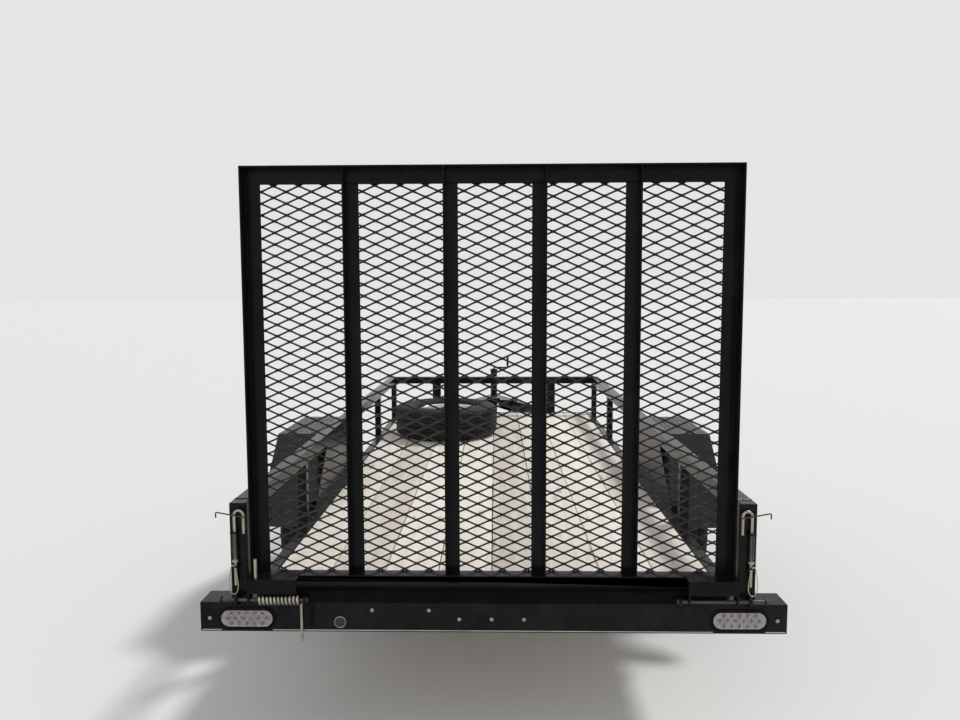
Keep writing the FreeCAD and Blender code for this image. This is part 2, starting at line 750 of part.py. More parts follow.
# the tongue, its coupler and the jack
def tongue():
    behind = "2 * channelFlange"
    for side, sign in sides:
        flange = "-channelFlange" if sign > 0 else "channelFlange"
        web = "-channelWeb" if sign > 0 else "channelWeb"
        section = [("0", "0"), (flange, "0"), (flange, "channelLip"), (web, "channelLip"),
                   (web, "channelTall - channelLip"), (flange, "channelTall - channelLip"),
                   (flange, "channelTall"), ("0", "channelTall")]
        turn = FreeCAD.Rotation(FreeCAD.Vector(0, 0, 1), sign * size("tongueAngle"))
        bar = profile("Beam" + side, "XZ_Plane", [section], "1.3 * tongueLong",
                      x="%d * (tongueHalf + %s * tongueSlope)" % (sign, behind), y="deckLong - " + behind,
                      z="frameLow", turn=turn, back=True)
        room = box("BeamRoom" + side, "0.3" if sign > 0 else "-0.3 - tongueHalf", "deckLong", "frameLow - 1",
                   "tongueHalf", "tongueLong", "channelTall + 2")
        beam = doc.addObject("Part::Common", "TongueBeam" + side)
        beam.Base = bar
        beam.Tool = room
        keep(beam, "tongue_beam_" + side)


def wedge(name, start, end, grow, low, tall):
    # a plate or block with the tongue's own outline between two places, moved out by grow
    side = "tongueHalf - (%s) * tongueSlope + %s"
    corners = [("-(%s)" % (side % (start, grow)), start), (side % (start, grow), start),
               (side % (end, grow), end), ("-(%s)" % (side % (end, grow)), end)]
    return profile(name, "XY_Plane", [corners], tall, y="deckLong", z=low)


def coupler():
    grow = "couplerWall / cos(tongueAngle)"
    low = "frameTop - couplerSkirt"
    tall = "couplerSkirt + couplerWall"
    shell = wedge("CouplerOuter", "tongueLong - couplerLong", "tongueLong + couplerWall", grow, low, tall)
    bridge = box("CouplerBridge", "-noseRadius", "tongueEnd - noseRadius", low, "2 * noseRadius",
                 "ballAhead + noseRadius", tall)
    nose = prism("CouplerNose", jackSides, "noseRadius", tall, "0", "ballPlace", low)
    room = wedge("CouplerRoom", "tongueLong - couplerLong - 1", "tongueLong", "0", low + " - 1",
                 "couplerSkirt + 1")
    socket = rod("Socket", "ballRadius + ballGap",
                 "ballFloor + ballRadius + ballGap - frameTop + couplerSkirt + 1",
                 "0", "ballPlace", low + " - 1")
    bore = prism("JackHole", jackSides, "jackRadius", "3 * couplerWall", "0", "jackPlace",
                 "frameTop - couplerWall")
    keep(cut("Coupler", fuse("CouplerBlank", [shell, bridge, nose]),
             fuse("CouplerRooms", [room, socket, bore])),
         "coupler")
    lever = [("0", "0"), ("1.3 * noseRadius", "0"), ("1.5 * noseRadius", "0.4 * noseRadius"),
             ("-0.4 * noseRadius", "0.75 * noseRadius"), ("-2.6 * noseRadius", "1.15 * noseRadius"),
             ("-2.7 * noseRadius", "0.9 * noseRadius"), ("-0.5 * noseRadius", "0.45 * noseRadius")]
    keep(profile("Lever", "YZ_Plane", [lever], "0.6 * noseRadius", x="-0.3 * noseRadius",
                 y="ballPlace - noseRadius", z="frameTop + couplerWall"), "coupler_latch")


def jack():
    tall = "jackTop - jackLow"
    plate = [("-jackPlate", "-0.75 * jackPlate"), ("jackPlate", "-0.75 * jackPlate"),
             ("jackPlate", "-0.35 * jackPlate"), ("0.3 * jackPlate", "jackPlate"),
             ("-0.3 * jackPlate", "jackPlate"), ("-jackPlate", "-0.35 * jackPlate")]
    outer = prism("JackOuter", jackSides, "jackRadius", tall, "0", "jackPlace", "jackLow")
    collar = profile("JackPlate", "XY_Plane", [plate], "jackPlateThick", y="jackPlace",
                     z="frameTop + couplerWall")
    inner = prism("JackInner", jackSides, "jackBore", tall + " + 1", "0", "jackPlace", "jackLow - 1")
    head = prism("JackHead", jackSides, "jackHead", "jackHeadTall", "0", "jackPlace", "jackTop")
    hollow = cut("JackTube", fuse("JackBody", [outer, collar]), inner)
    keep(fuse("JackCase", [hollow, head]), "jack_tube")

    floor = size("jackTop") + size("jackHeadTall")
    level = floor + 2 * size("crankRadius")
    reach = size("crankReach")
    rise = level + 2 * size("crankRadius")
    arm = doc.addObject("Part::Feature", "CrankArm")
    arm.Shape = barAlong([(0, 0, floor), (0, 0, level), (reach, 0, level), (reach, 0, rise)],
                         size("crankRadius"), wireSides)
    place(arm, "0", "jackPlace", "0")
    grip = prism("CrankGrip", pinSides, "gripRadius", "gripLong", "crankReach", "jackPlace",
                 "jackTop + jackHeadTall + 4 * crankRadius")
    keep(fuse("Crank", [arm, grip]), "jack_crank")

    leg = prism("LegOuter", jackSides, "legRadius", "legTop - footThick", "0", "jackPlace", "footThick")
    foot = box("Foot", "-footHalf", "jackPlace - footHalf", "0", "2 * footHalf", "2 * footHalf", "footThick")
    hole = prism("LegBore", jackSides, "legRadius - legWall", "legTop", "0", "jackPlace", "footThick")
    keep(cut("Leg", fuse("LegBlank", [leg, foot]), hole), "jack_leg")


# the ramp gate and its hinge line
def gateFrame():
    low = "gateRailTop - gateRailDrop"
    pieces = []
    for side, sign in sides:
        edge = "%d * gateHalf" % sign
        inner = "%d * (gateHalf - gateAngle)" % sign
        web = "%d * (gateHalf - gateThick)" % sign
        section = [(edge, "0"), (edge, "gateAngle"), (inner, "gateAngle"), (inner, "gateAngle - gateThick"),
                   (web, "gateAngle - gateThick"), (web, "0")]
        pieces.append(profile("GatePost" + side, "XY_Plane", [section], "gateTop - (%s)" % low,
                              y="postSetback", z=low))
    for alias, middle in uprightPlaces:
        sign = 1 if middle > 0 else -1
        out = "%s + %d * uprightAngle / 2" % (alias, sign)
        inner = "%s - %d * uprightAngle / 2" % (alias, sign)
        web = "%s + %d * (uprightAngle / 2 - gateThick)" % (alias, sign)
        section = [(out, "gateAngle - uprightAngle"), (out, "gateAngle"), (inner, "gateAngle"),
                   (inner, "gateAngle - gateThick"), (web, "gateAngle - gateThick"),
                   (web, "gateAngle - uprightAngle")]
        pieces.append(profile("Gate" + alias, "XY_Plane", [section], "gateTop - gateRailTop",
                              y="postSetback", z="gateRailTop"))
    for name, top, drop in (("Low", "gateRailTop", "gateRailDrop"), ("High", "gateTop", "gateAngle")):
        section = [("0", top), ("gateAngle", top), ("gateAngle", "%s - %s" % (top, drop)),
                   ("gateAngle - gateThick", "%s - %s" % (top, drop)),
                   ("gateAngle - gateThick", top + " - gateThick"), ("0", top + " - gateThick")]
        pieces.append(profile("GateRail" + name, "YZ_Plane", [section], "2 * gateHalf", x="-gateHalf",
                              y="postSetback"))
    keep(fuse("GateFrame", pieces), "gate_frame")


def clipped(corners, bounds):
    # the part of a flat outline that lies inside a box with sides square to the axes
    for axis, limit, sign in ((0, bounds[0], 1), (0, bounds[1], -1), (1, bounds[2], 1), (1, bounds[3], -1)):
        kept = []
        for index, here in enumerate(corners):
            before = corners[index - 1]
            depthHere = sign * (here[axis] - limit)
            depthBefore = sign * (before[axis] - limit)
            if depthHere * depthBefore < 0:
                share = depthBefore / (depthBefore - depthHere)
                kept.append(tuple(before[k] + share * (here[k] - before[k]) for k in (0, 1)))
            if depthHere >= 0:
                kept.append(here)
        corners = kept
    return corners


def gateMesh():
    # flat strands in two crossing layers, with the slope and spacing of slit and stretched sheet
    lap = size("meshLap")
    left = lap - size("gateHalf")
    low = size("gateRailTop") - size("gateRailDrop") + lap / 2
    wide = -2 * left
    tall = size("gateTop") - lap - low
    step = tall / meshRows
    climb = step * meshColumns
    half = size("meshStrand") / 2 * math.hypot(wide, climb) / wide
    for layer, (name, sign) in enumerate((("rising", 1), ("falling", -1))):
        strands = []
        for row in range(-meshColumns, meshRows):
            start = low + (row + 0.5) * step
            ends = [(sign * left, start - half), (-sign * left, start + climb - half),
                    (-sign * left, start + climb + half), (sign * left, start + half)]
            corners = [FreeCAD.Vector(x, 0, z) for x, z in clipped(ends, (left, -left, low, low + tall))]
            if len(corners) > 2:
                face = Part.Face(Part.makePolygon(corners + corners[:1]))
                strands.append(face.extrude(FreeCAD.Vector(0, size("meshThick") / 2, 0)))
        item = doc.addObject("Part::Feature", "Mesh" + name.capitalize())
        item.Shape = Part.makeCompound(strands)
        keep(place(item, "0", "meshFace + %d * meshThick / 2" % layer, "0"), "gate_mesh_" + name)


def hinges():
    brackets = []
    lug = [("0", "hingeFloor - lugDrop"), ("0", "hingeFloor + lugFlat"),
           ("-hingeBack - lugStep", "hingeFloor + lugFlat"),
           ("-hingeBack - lugFlat", "hingeFloor + lugStep"),
           ("-hingeBack - lugFlat", "hingeFloor - lugStep"),
           ("-hingeBack - lugStep", "hingeFloor - lugFlat")]
    for side, sign in sides:
        inner = "rodInner" if sign > 0 else "-rodOuter"
        pieces = [prism("Pin" + side, pinSides, "hingeRod", "rodOuter - rodInner", inner, "-hingeBack",
                        "hingeFloor", turnToX)]
        for name, spot in (("In", "rodInner + washerThick"), ("Out", "rodOuter - 3 * washerThick")):
            x = spot if sign > 0 else "-(%s) - washerThick" % spot
            pieces.append(prism("Washer%s%s" % (side, name), pinSides, "washerRadius", "washerThick", x,
                                "-hingeBack", "hingeFloor", turnToX))
        for name, spot in (("In", "lugInner"), ("Out", "lugOuter")):
            x = spot if sign > 0 else "-%s - lugThick" % spot
            pieces.append(profile("Lug%s%s" % (side, name), "YZ_Plane", [lug], "lugThick", x=x))
        keep(fuse("HingePin" + side, pieces), "hinge_pin_" + side)
        brackets.append(bracket(side, sign))
    keep(group("Brackets", brackets), "gate_brackets")


def bracket(side, sign):
    # a folded box under the gate's bottom rail whose end plates turn on the pin
    back = "-hingeBack - earFlat"
    ceiling = "gateRailTop - gateThick"
    floor = "gateRailTop - gateRailDrop"
    plateLow = "hingeFloor + bracketRaise"
    nearX = "bracketInner" if sign > 0 else "-gateHalf"
    span = "gateHalf - bracketInner"
    pieces = [box("BracketTop" + side, nearX, back, ceiling, span, "hingeBack + earFlat + postSetback",
                  "gateThick"),
              box("BracketBack" + side, nearX, back, plateLow, span, "gateThick",
                  "gateRailTop - (%s)" % plateLow)]
    ears = [("Out", "gateHalf - earThick", "postSetback")]
    if sign > 0:
        ears.append(("In", "bracketInner", "plateFace"))
    for name, spot, end in ears:
        ear = [(back, ceiling), (back, "hingeFloor - earStep"),
               ("-hingeBack - earStep", "hingeFloor - earFlat"),
               ("earStep - hingeBack", "hingeFloor - earFlat"),
               ("earFlat - hingeBack", "hingeFloor - earStep"),
               ("earFlat - hingeBack", floor), (end, floor), (end, ceiling)]
        x = spot if sign > 0 else "-(%s) - earThick" % spot
        pieces.append(profile("Ear%s%s" % (side, name), "YZ_Plane", [ear], "earThick", x=x))
    hole = rod("BracketBore" + side, "hingeRod + hingeGap", "gateHalf", "0" if sign > 0 else "-gateHalf",
               "-hingeBack", "hingeFloor", turnToX)
    if sign < 0:
        hole = fuse("BracketHoles", [hole, prism("ArmHole", wireSides, "coilWire + armRoom", "3 * gateThick",
                                                 "armAcross", "armBack", "gateRailTop - 2 * gateThick")])
    return cut("Bracket" + side, fuse("BracketBlank" + side, pieces), hole)


def gateSpring():
    # a torsion coil round the left pin with a leg bearing on the light bar; its arm bears on the gate
    steps = round(size("coilTurns")) * coilStations + 3
    path = []
    for index in range(steps + 1):
        angle = 2 * math.pi * (2.5 - index) / coilStations
        path.append((index * size("coilPitch") / coilStations, size("coilMean") * math.cos(angle),
                     size("coilMean") * math.sin(angle)))
    path.append((path[-1][0], path[-1][1], size("bumperFloor") - size("coilDrop") - size("hingeFloor")))
    item = doc.addObject("Part::Feature", "GateCoil")
    item.Shape = barAlong(path, size("coilWire"), wireSides)
    keep(place(item, "-coilOuter", "-hingeBack", "hingeFloor"), "gate_coil")
    foot = "hingeFloor + coilMean + 1.5 * coilWire"
    keep(prism("CoilArm", wireSides, "coilWire", "armTop - (%s)" % foot, "armAcross", "armBack", foot),
         "gate_spring_arm")


# cane shaped rods on the rear posts, each pulled down by a spring between two guides
def latches():
    for side, sign in sides:
        spot = "%d * latchPlace" % sign
        back = "postSetback - latchBack"
        reach = -sign * size("latchReach")
        top = size("latchTop")
        arch = top + size("latchReach") / 2
        path = [(0, 0, size("latchLow")), (0, 0, top), (0.3 * reach, 0, arch), (0.7 * reach, 0, arch),
                (reach, 0, top), (reach, 0, size("latchTip"))]
        cane = doc.addObject("Part::Feature", "Cane" + side)
        cane.Shape = barAlong(path, size("latchRod"), wireSides)
        pieces = [place(cane, spot, back, "0")]
        for name, level in (("Upper", "guideUpper"), ("Lower", "guideLower")):
            pieces.append(box("Guide%s%s" % (side, name), spot + " - guideHalf", back + " - guideHalf",
                              level, "2 * guideHalf", "latchBack + guideHalf", "guideThick"))
        pieces.append(prism("Collar" + side, pinSides, "latchCollar", "2 * guideThick", spot, back,
                            "guideLower + 4 * guideThick"))
        floor = "guideLower + 6 * guideThick + restGap"
        tall = "guideUpper - restGap - (%s)" % floor
        spring = cut("LatchSpring" + side,
                     prism("SpringOuter" + side, pinSides, "latchCoil", tall, spot, back, floor),
                     prism("SpringInner" + side, pinSides, "latchCoil - 2 * latchWire", tall, spot, back,
                           floor))
        keep(group("Latch" + side, [fuse("LatchBody" + side, pieces), spring]), "latch_" + side)


for build in (lightBar, bed, rails, fenders, runningGear, wheels, tongue, coupler, jack, gateFrame,
              gateMesh, hinges, gateSpring, latches):
    build()
doc.recompute()

# the origin lies on the floor under the middle of the whole trailer
sheet.clear("D1")
whole = FreeCAD.BoundBox()
for item in nodes:
    whole.add(item.Shape.BoundBox)
sheet.set(sheet.getCellFromAlias("rearFace"), "%.6f" % (-(whole.YMin + whole.YMax) / 2))
doc.recompute()

for item in doc.Objects:
    if "Invalid" in item.State or "Error" in item.State:
        raise RuntimeError("not built: " + item.Label)
for item in nodes:
    if item.Shape.isNull() or not item.Shape.isValid() or not item.Shape.Solids:
        raise RuntimeError("no valid solid: " + item.Label)
print("rear face of the light bar at Y", size("rearFace"))
for item in nodes:
    item.Shape.exportStep("parts/%s.step" % item.Label)
    print("%-22s solids %2d volume %10.0f" % (item.Label, len(item.Shape.Solids), item.Shape.Volume))
print(len(nodes), "nodes")
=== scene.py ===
import math

import bmesh
import bpy
import numpy as np
from mathutils import Matrix, Vector


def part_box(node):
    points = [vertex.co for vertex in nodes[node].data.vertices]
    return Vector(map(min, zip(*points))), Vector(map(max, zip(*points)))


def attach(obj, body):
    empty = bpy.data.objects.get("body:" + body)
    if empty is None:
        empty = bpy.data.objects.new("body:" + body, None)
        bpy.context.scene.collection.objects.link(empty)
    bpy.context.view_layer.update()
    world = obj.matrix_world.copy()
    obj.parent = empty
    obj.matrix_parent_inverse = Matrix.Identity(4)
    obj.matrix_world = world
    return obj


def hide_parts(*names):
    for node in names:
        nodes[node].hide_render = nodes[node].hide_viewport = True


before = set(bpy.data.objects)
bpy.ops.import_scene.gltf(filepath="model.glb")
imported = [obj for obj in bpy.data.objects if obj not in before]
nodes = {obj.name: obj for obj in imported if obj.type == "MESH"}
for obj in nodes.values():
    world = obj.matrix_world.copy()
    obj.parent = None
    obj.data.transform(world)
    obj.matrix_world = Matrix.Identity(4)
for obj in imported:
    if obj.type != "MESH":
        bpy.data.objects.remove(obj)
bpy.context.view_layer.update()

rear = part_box("rear_light_bar")[0].y  # lengths along the trailer are counted from the light bar's rear face
bothSides = (("left", -1), ("right", 1))
toX, toY, toZ, toRear = (1, 0, 0), (0, 1, 0), (0, 0, 1), (0, -1, 0)
print("packed trailer loaded")


# camera, floor and light

view = {
    "place": (0.0128, rear - 2.291, 1.459), "pitchDown": math.radians(4.985), "yaw": math.radians(-1.17),
    "roll": math.radians(-0.19), "lens": 28.18, "sensor": 36.0, "clip": 200,
}

studio = {
    "floorColour": (0.80, 0.79, 0.77, 1), "floorRough": 0.9, "floorHalf": 260.0,
    "backColour": (0.785, 0.785, 0.785, 1), "skyColour": (0.95, 0.97, 1.0, 1), "skyStrength": 0.50,
    "suns": [  # name, where it shines from, power, how wide it looks
        ("sun", (3.2, 3.4, 5.2), 1.9, math.radians(9)),
        ("fill", (-4.5, -5.5, 4.0), 0.35, math.radians(60)),
    ],
}


def linked(name, data):
    # a new object that shows in the scene
    made = bpy.data.objects.new(name, data)
    bpy.context.scene.collection.objects.link(made)
    return made


def newMaterial(name):
    # a material and the inputs of its shader
    made = bpy.data.materials.new(name)
    made.use_nodes = True
    return made, made.node_tree.nodes["Principled BSDF"].inputs


def makeCamera():
    yaw, pitch, roll = view["yaw"], view["pitchDown"], view["roll"]
    ahead = Vector((math.sin(yaw) * math.cos(pitch), math.cos(yaw) * math.cos(pitch), -math.sin(pitch)))
    right = Vector((math.cos(yaw), -math.sin(yaw), 0))
    up = right.cross(ahead)
    across = right * math.cos(roll) + up * math.sin(roll)
    above = up * math.cos(roll) - right * math.sin(roll)
    data = bpy.data.cameras.new("camera")
    data.lens = view["lens"]
    data.sensor_width = view["sensor"]
    data.sensor_fit = "HORIZONTAL"
    data.clip_end = view["clip"]
    camera = linked("camera", data)
    turn = Matrix((across, above, -ahead)).transposed().to_4x4()
    camera.matrix_world = Matrix.Translation(view["place"]) @ turn
    bpy.context.scene.camera = camera


def addNode(tree, kind, values=None, **settings):
    # one shader node; a value is a number, a colour or another node's output to link
    node = tree.nodes.new("ShaderNode" + kind)
    for key, value in settings.items():
        setattr(node, key, value)
    for socket, value in (values or {}).items():
        if isinstance(value, bpy.types.NodeSocket):
            tree.links.new(value, node.inputs[socket])
        else:
            node.inputs[socket].default_value = value
    return node


def mathNode(tree, operation, one, two, clamp=False):
    return addNode(tree, "Math", {0: one, 1: two}, operation=operation, use_clamp=clamp).outputs[0]


def makeFloor():
    half = studio["floorHalf"]
    mesh = bpy.data.meshes.new("floor")
    corners = [(-half, -half, 0), (half, -half, 0), (half, half, 0), (-half, half, 0)]
    mesh.from_pydata(corners, [], [(0, 1, 2, 3)])
    floor = linked("floor", mesh)
    paint, taken = newMaterial("floorPaint")
    taken["Base Color"].default_value = studio["floorColour"]
    taken["Roughness"].default_value = studio["floorRough"]
    mesh.materials.append(paint)


def makeLight():
    # the sky lights the trailer, but the camera and clear or shiny things see the plain backdrop
    world = bpy.data.worlds.new("studio")
    bpy.context.scene.world = world
    world.use_nodes = True
    tree = world.node_tree
    sky = tree.nodes["Background"]
    sky.inputs["Color"].default_value = studio["skyColour"]
    sky.inputs["Strength"].default_value = studio["skyStrength"]
    back = addNode(tree, "Background", {"Color": studio["backColour"], "Strength": 1.0})
    path = addNode(tree, "LightPath").outputs
    seen = mathNode(tree, "MAXIMUM", path["Is Camera Ray"], path["Is Glossy Ray"])
    seen = mathNode(tree, "MAXIMUM", seen, path["Is Transmission Ray"])
    mix = addNode(tree, "MixShader", {0: seen, 1: sky.outputs[0], 2: back.outputs[0]})
    tree.links.new(mix.outputs[0], tree.nodes["World Output"].inputs["Surface"])
    for name, place, power, wide in studio["suns"]:
        data = bpy.data.lights.new(name, "SUN")
        data.energy = power
        data.angle = wide
        turn = (-Vector(place)).to_track_quat("-Z", "Y").to_matrix().to_4x4()
        linked(name, data).matrix_world = Matrix.Translation(place) @ turn
    bpy.context.scene.view_settings.view_transform = "Standard"


makeCamera()
makeFloor()
makeLight()
print("camera and studio set")


# finishes

def times(tree, one, two):
    return mathNode(tree, "MULTIPLY", one, two)


def scaled(tree, place, factors):
    return addNode(tree, "VectorMath", {0: place, 1: factors}, operation="MULTIPLY").outputs[0]


def mixColour(tree, share, one, two):
    return addNode(tree, "Mix", {0: share, 6: one, 7: two}, data_type="RGBA", blend_type="MIX").outputs[2]


def spread(tree, value, low, high, newLow=0.0, newHigh=1.0):
    # the value's place between low and high, read off between newLow and newHigh
    names = ("Value", "From Min", "From Max", "To Min", "To Max")
    return addNode(tree, "MapRange", dict(zip(names, (value, low, high, newLow, newHigh)))).outputs[0]


def noiseAt(tree, place, scale, detail=4.0, roughness=0.55):
    values = {"Vector": place, "Scale": scale, "Detail": detail, "Roughness": roughness}
    return addNode(tree, "TexNoise", values).outputs["Fac"]


def makeGroup(name, wire, **labels):
    # a node group: labels lists its inputs by kind; wire(group, inputs) gives colour, roughness and height
    group = bpy.data.node_groups.new(name, "ShaderNodeTree")
    for kind, names in labels.items():
        for label in names:
            group.interface.new_socket(label, in_out="INPUT", socket_type="NodeSocket" + kind)
    results = {"Colour": "Color", "Roughness": "Float", "Height": "Float"}
    for label, kind in results.items():
        group.interface.new_socket(label, in_out="OUTPUT", socket_type="NodeSocket" + kind)
    given, taken = group.nodes.new("NodeGroupInput").outputs, group.nodes.new("NodeGroupOutput").inputs
    for label, socket in zip(results, wire(group, given)):
        group.links.new(socket, taken[label])
    return group


wear = {
    "fade": (0.35, 0.65), "patches": 2.7,  # patches is how much finer they are than the fading
    "dust": (0.42, 0.72), "dustRough": 0.5, "deep": 0.001,
}


def wireSurface(group, given):
    # a coat with slow fading, dusty patches and a fine grain, all from noise on Object coordinates
    place = addNode(group, "TexCoord").outputs["Object"]
    slow = noiseAt(group, place, given["Scale"])
    patch = noiseAt(group, place, times(group, given["Scale"], wear["patches"]), 6.0, 0.7)
    fine = noiseAt(group, place, given["Grain"], 2.0)
    faded = mixColour(group, spread(group, slow, *wear["fade"]), given["Base"], given["Faded"])
    dusty = times(group, spread(group, patch, *wear["dust"]), given["Dust Amount"])
    change = times(group, mathNode(group, "SUBTRACT", slow, 0.5), given["Roughness Spread"])
    rough = mathNode(group, "ADD", given["Roughness"], change)
    rough = mathNode(group, "ADD", rough, times(group, dusty, wear["dustRough"]), True)
    return mixColour(group, dusty, faded, given["Dust"]), rough, fine


grain = {
    "apart": (7.0, 31.0, 3.0),  # how far the patterns of two planks may be moved against each other
    "stretch": (1.0, 0.045, 1.0), "rings": 26.0, "ringScale": 9.0, "ringDark": 0.45,
    "knotStretch": (7.0, 1.6, 7.0), "knot": (0.05, 0.13), "knotDark": 0.8, "bend": 4.0, "bendReach": 0.35,
    "fibre": 420.0, "fibreDark": 0.35, "greyScale": 3.5, "grey": (0.1, 0.7), "greySpread": 0.35,
    "bright": (0.82, 1.12), "rough": (0.62, 0.85), "relief": (0.7, 0.3), "deep": 0.0015,
}


def wireTimber(group, given):
    # weathered softwood planks: growth rings stretched along Y, knots, and another tone for each plank
    place = addNode(group, "TexCoord").outputs["Object"]
    across = addNode(group, "SeparateXYZ", {0: place}).outputs[0]
    fromEdge = mathNode(group, "SUBTRACT", across, given["First Edge"])
    number = mathNode(group, "FLOOR", mathNode(group, "DIVIDE", fromEdge, given["Plank Pitch"]), 0.0)
    tone = addNode(group, "TexWhiteNoise", {"W": number}, noise_dimensions="1D").outputs
    shift = scaled(group, tone["Color"], grain["apart"])
    moved = addNode(group, "VectorMath", {0: place, 1: shift}, operation="ADD").outputs[0]
    stretched = scaled(group, moved, grain["stretch"])
    knots = scaled(group, moved, grain["knotStretch"])
    cells = addNode(group, "TexVoronoi", {"Vector": knots, "Scale": 1.0, "Randomness": 0.9})
    near = cells.outputs["Distance"]
    # the rings bend round each knot
    flow = times(group, noiseAt(group, stretched, grain["ringScale"], 2.0), grain["rings"])
    bend = times(group, spread(group, near, 0.0, grain["bendReach"], 1.0, 0.0), grain["bend"])
    rings = spread(group, mathNode(group, "SINE", mathNode(group, "ADD", flow, bend), 0.0), -1.0, 1.0)
    fibre = noiseAt(group, stretched, grain["fibre"], 3.0)
    wood = mixColour(group, times(group, rings, grain["ringDark"]), given["Light"], given["Dark"])
    wood = mixColour(group, spread(group, fibre, 0.35, 0.7, 0.0, grain["fibreDark"]), wood, given["Dark"])
    knot = times(group, spread(group, near, *grain["knot"], 1.0, 0.0), grain["knotDark"])
    wood = mixColour(group, knot, wood, given["Knot"])
    grey = spread(group, noiseAt(group, moved, grain["greyScale"], 5.0, 0.65), 0.35, 0.7, *grain["grey"])
    change = times(group, mathNode(group, "SUBTRACT", tone["Value"], 0.5), grain["greySpread"])
    wood = mixColour(group, mathNode(group, "ADD", grey, change, True), wood, given["Grey"])
    bright = spread(group, tone["Value"], 0.0, 1.0, *grain["bright"])
    wood = addNode(group, "HueSaturation", {"Value": bright, "Color": wood}).outputs[0]
    relief = [times(group, part, share) for part, share in zip((fibre, rings), grain["relief"])]
    return wood, spread(group, fibre, 0.3, 0.7, *grain["rough"]), mathNode(group, "ADD", *relief)


surfaceGroup = makeGroup("coatedSurface", wireSurface, Color=("Base", "Faded", "Dust"),
                         Float=("Dust Amount", "Scale", "Grain", "Roughness", "Roughness Spread"))
timberGroup = makeGroup("weatheredTimber", wireTimber, Color=("Light", "Dark", "Knot", "Grey"),
                        Float=("Plank Pitch", "First Edge"))


def material(name, group, values, bump, distance, **plain):
    # a shader fed by one of the groups; plain holds the values that are the same all over
    made, taken = newMaterial(name)
    tree = made.node_tree
    effect = addNode(tree, "Group", node_tree=group)
    for label, value in values.items():
        effect.inputs[label].default_value = value
    tree.links.new(effect.outputs["Colour"], taken["Base Color"])
    tree.links.new(effect.outputs["Roughness"], taken["Roughness"])
    lift = addNode(tree, "Bump", {"Strength": bump, "Distance": distance, "Height": effect.outputs["Height"]})
    tree.links.new(lift.outputs[0], taken["Normal"])
    for label, value in plain.items():
        taken[label.replace("_", " ")].default_value = value
    return made


def coat(name, base, faded, dust, amount, rough, bump, scale=6.0, fine=350.0, change=0.15, **plain):
    # base and faded are the coat's two colours, amount says how much dust lies on it, and scale and fine are
    # the fading's and the grain's number of spots in a metre
    values = {"Base": (*base, 1), "Faded": (*faded, 1), "Dust": (*dust, 1), "Dust Amount": amount,
              "Scale": scale, "Grain": fine, "Roughness": rough, "Roughness Spread": change}
    return material(name, surfaceGroup, values, bump, wear["deep"], **plain)


dustTone = (0.42, 0.38, 0.32)
blackPaint = coat("blackPaint", (0.0045, 0.0047, 0.0052), (0.007, 0.0072, 0.008), dustTone, 0.02, 0.22, 0.03,
                  Specular_IOR_Level=0.13)
shadedPaint = coat("shadedPaint", (0.004, 0.0042, 0.0046), (0.006, 0.0062, 0.0067), dustTone, 0.01, 0.6, 0.04,
                   Specular_IOR_Level=0.03)
gatePaint = coat("gatePaint", (0.004, 0.0042, 0.0047), (0.0065, 0.0067, 0.0073), dustTone, 0.015, 0.25, 0.04,
                 Specular_IOR_Level=0.11)
meshPaint = coat("meshPaint", (0.004, 0.004, 0.0045), (0.008, 0.008, 0.0085), dustTone, 0.03, 0.26, 0.04,
                 12.0, Specular_IOR_Level=0.3)
treadPaint = coat("treadPaint", (0.005, 0.0052, 0.0057), (0.008, 0.008, 0.009), dustTone, 0.04, 0.20, 0.03,
                  Specular_IOR_Level=0.34)
zinc = coat("zincPlate", (0.47, 0.44, 0.37), (0.32, 0.30, 0.26), (0.26, 0.21, 0.14), 0.25, 0.30, 0.08, 40.0,
            900.0, Metallic=0.95)
yellowZinc = coat("yellowZinc", (0.62, 0.56, 0.38), (0.46, 0.42, 0.30), (0.28, 0.23, 0.15), 0.15, 0.34, 0.08,
                  40.0, 900.0, Metallic=0.9)
darkSteel = coat("darkSteel", (0.085, 0.08, 0.075), (0.05, 0.048, 0.045), (0.20, 0.12, 0.07), 0.25, 0.34,
                 0.08, 50.0, 900.0, Metallic=0.85)
jackZinc = coat("jackZinc", (0.55, 0.56, 0.57), (0.42, 0.43, 0.45), dustTone, 0.12, 0.36, 0.06, 22.0, 700.0,
                Metallic=0.9)
tyreRubber = coat("tyreRubber", (0.010, 0.010, 0.0105), (0.017, 0.0165, 0.016), (0.14, 0.12, 0.10), 0.09,
                  0.70, 0.15, 9.0, 260.0, Specular_IOR_Level=0.2)
# black rubber for grommets and rings, also used as painted shade for the spring leg's shadow and the spare's
# stud holes
rubberAndShade = coat("rubberAndShade", (0.003, 0.003, 0.0032), (0.005, 0.005, 0.005), dustTone, 0.01, 0.5, 0.1, 20.0,
                  Specular_IOR_Level=0.08)
blackPlastic = coat("blackPlastic", (0.012, 0.012, 0.012), (0.02, 0.02, 0.02), dustTone, 0.05, 0.42, 0.1,
                    30.0)
rimPaint = coat("rimPaint", (0.70, 0.71, 0.72), (0.60, 0.61, 0.62), (0.30, 0.25, 0.2), 0.14, 0.34, 0.05, 14.0,
                Metallic=0.35)
springPaint = coat("springPaint", (0.020, 0.020, 0.021), (0.035, 0.032, 0.03), (0.20, 0.14, 0.1), 0.22,
                   0.52, 0.12, 18.0)
castPaint = coat("castPaint", (0.018, 0.018, 0.019), (0.032, 0.030, 0.028), (0.22, 0.16, 0.12), 0.14, 0.45,
                 0.15, 25.0)
screwSteel = coat("screwSteel", (0.50, 0.49, 0.46), (0.35, 0.33, 0.3), (0.2, 0.13, 0.08), 0.3, 0.4, 0.1, 60.0,
                  Metallic=0.9)
ledWhite = coat("reflectorPlate", (0.60, 0.55, 0.56), (0.42, 0.38, 0.39), (0.30, 0.26, 0.27), 0.25, 0.26,
                0.04, 90.0, Metallic=0.5)
